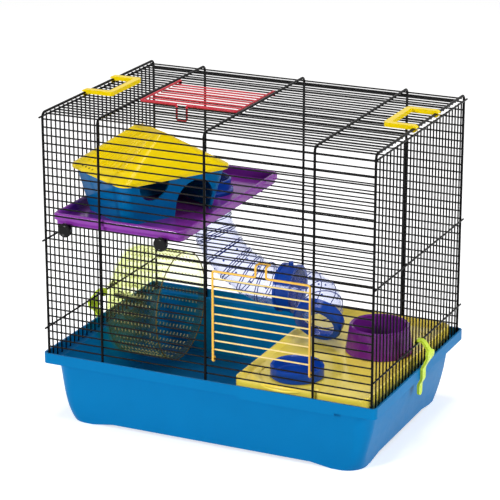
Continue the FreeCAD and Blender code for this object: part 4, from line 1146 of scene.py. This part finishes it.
    def dress(self, paint: Paintbox) -> None:
        """Lay the clear plastic and the steel."""
        paint.dress(CLEAR_WHEEL, "wheel_drum", "axle_cap", "wheel_bracket")
        paint.dress(STEEL, "wheel_axle")


@dataclass(frozen=True)
class Lamp:
    """A soft square lamp: its place and width in metres, and its power in watts."""

    name: str
    place: tuple[float, float, float]
    width: float
    power: float


LAMPS = (
    Lamp("key_lamp", (-1.1, -2.5, 1.1), 0.5, 48.0),
    Lamp("side_lamp", (2.6, -0.4, 1.0), 0.7, 36.0),
    Lamp("top_lamp", (0.0, 0.3, 2.6), 0.9, 24.0),
)


@dataclass
class Studio:
    """The plain floor, soft lamps and camera."""

    floor_size: float = 14.0
    paper_colour: str = "#F8F8F8"
    paper_roughness: float = 0.9
    paper_shine: float = 0.1
    paper_lift: float = 0.5
    sky: float = 0.31
    lamp_aim: tuple[float, float, float] = (0.0, 0.0, 0.18)
    lens_mm: float = 162.2
    sensor_mm: float = 36.0
    view_range: float = 50.0
    camera_place: tuple[float, float, float] = (1.0454, -2.2799, 1.0372)
    camera_aim: tuple[float, float, float] = (-0.0079, 0.0, 0.198)

    def floor(self) -> None:
        """Lay the pale floor."""
        clear_selection()
        bpy.ops.mesh.primitive_plane_add(size=self.floor_size, location=(0, 0, 0))
        floor = started("studio_floor")
        material, tree = new_material("studio_paper")
        paper = add_node(
            tree,
            "ShaderNodeBsdfPrincipled",
            {
                "Base Color": linear(self.paper_colour),
                "Roughness": self.paper_roughness,
                "Specular IOR Level": self.paper_shine,
            },
        )
        # the paper reads as white to the camera, and its shadows stay
        lift = spread(tree, seen_by_eye(tree), 0.0, self.paper_lift)
        glow = add_node(tree, "ShaderNodeEmission", links={"Strength": lift})
        shader = add_node(
            tree, "ShaderNodeAddShader", links={0: paper.outputs["BSDF"], 1: glow.outputs["Emission"]}
        )
        surface(tree, shader.outputs["Shader"])
        floor.data.materials.append(material)

    def point(
        self,
        holder: bpy.types.Object,
        place: tuple[float, float, float],
        aim: tuple[float, float, float],
    ) -> None:
        """Put a lamp or camera in its place and turn it to what it looks at.

        Args:
            holder: the lamp or camera.
            place: where it goes, in metres.
            aim: the spot that it looks at.
        """
        holder.location = place
        holder.rotation_euler = (Vector(aim) - Vector(place)).to_track_quat("-Z", "Y").to_euler()
        bpy.context.scene.collection.objects.link(holder)

    def hang(self, lamp: Lamp) -> None:
        """Hang a soft lamp that looks at the object."""
        light = bpy.data.lights.new(lamp.name, "AREA")
        light.size = lamp.width
        light.energy = lamp.power
        self.point(bpy.data.objects.new(lamp.name, light), lamp.place, self.lamp_aim)

    def world(self) -> None:
        """Make the pale surroundings, white to the camera, in reflections and through clear plastic."""
        world = bpy.data.worlds.new("pale_surroundings")
        bpy.context.scene.world = world
        world.use_nodes = True
        tree = world.node_tree
        tree.nodes.clear()
        strength = spread(tree, seen_by_eye(tree), self.sky, 1.0)
        sky = add_node(tree, "ShaderNodeBackground", {"Color": (1, 1, 1, 1)}, {"Strength": strength})
        add_node(tree, "ShaderNodeOutputWorld", links={"Surface": sky.outputs["Background"]})

    def camera(self) -> None:
        """Set the camera where the photograph was taken from."""
        lens = bpy.data.cameras.new("photo_camera")
        lens.lens = self.lens_mm
        lens.sensor_width = self.sensor_mm
        lens.clip_end = self.view_range
        camera = bpy.data.objects.new("photo_camera", lens)
        self.point(camera, self.camera_place, self.camera_aim)
        bpy.context.scene.camera = camera

    def build(self) -> None:
        """Set up the studio."""
        bpy.context.scene.view_settings.view_transform = "Standard"
        self.floor()
        self.world()
        for lamp in LAMPS:
            self.hang(lamp)
        self.camera()


def main() -> None:
    """Build and dress the sub-assemblies in order."""
    paint = Paintbox()
    Studio().build()
    floors = Floors()
    house = House.measured()
    tube = TubeRun()
    wheel = RunningWheel.measured()
    for group in (floors, house, tube, wheel):
        group.build(paint)
    for group in (Hood(), floors, house, tube, wheel):
        group.dress(paint)


if __name__ == "__main__":
    main()
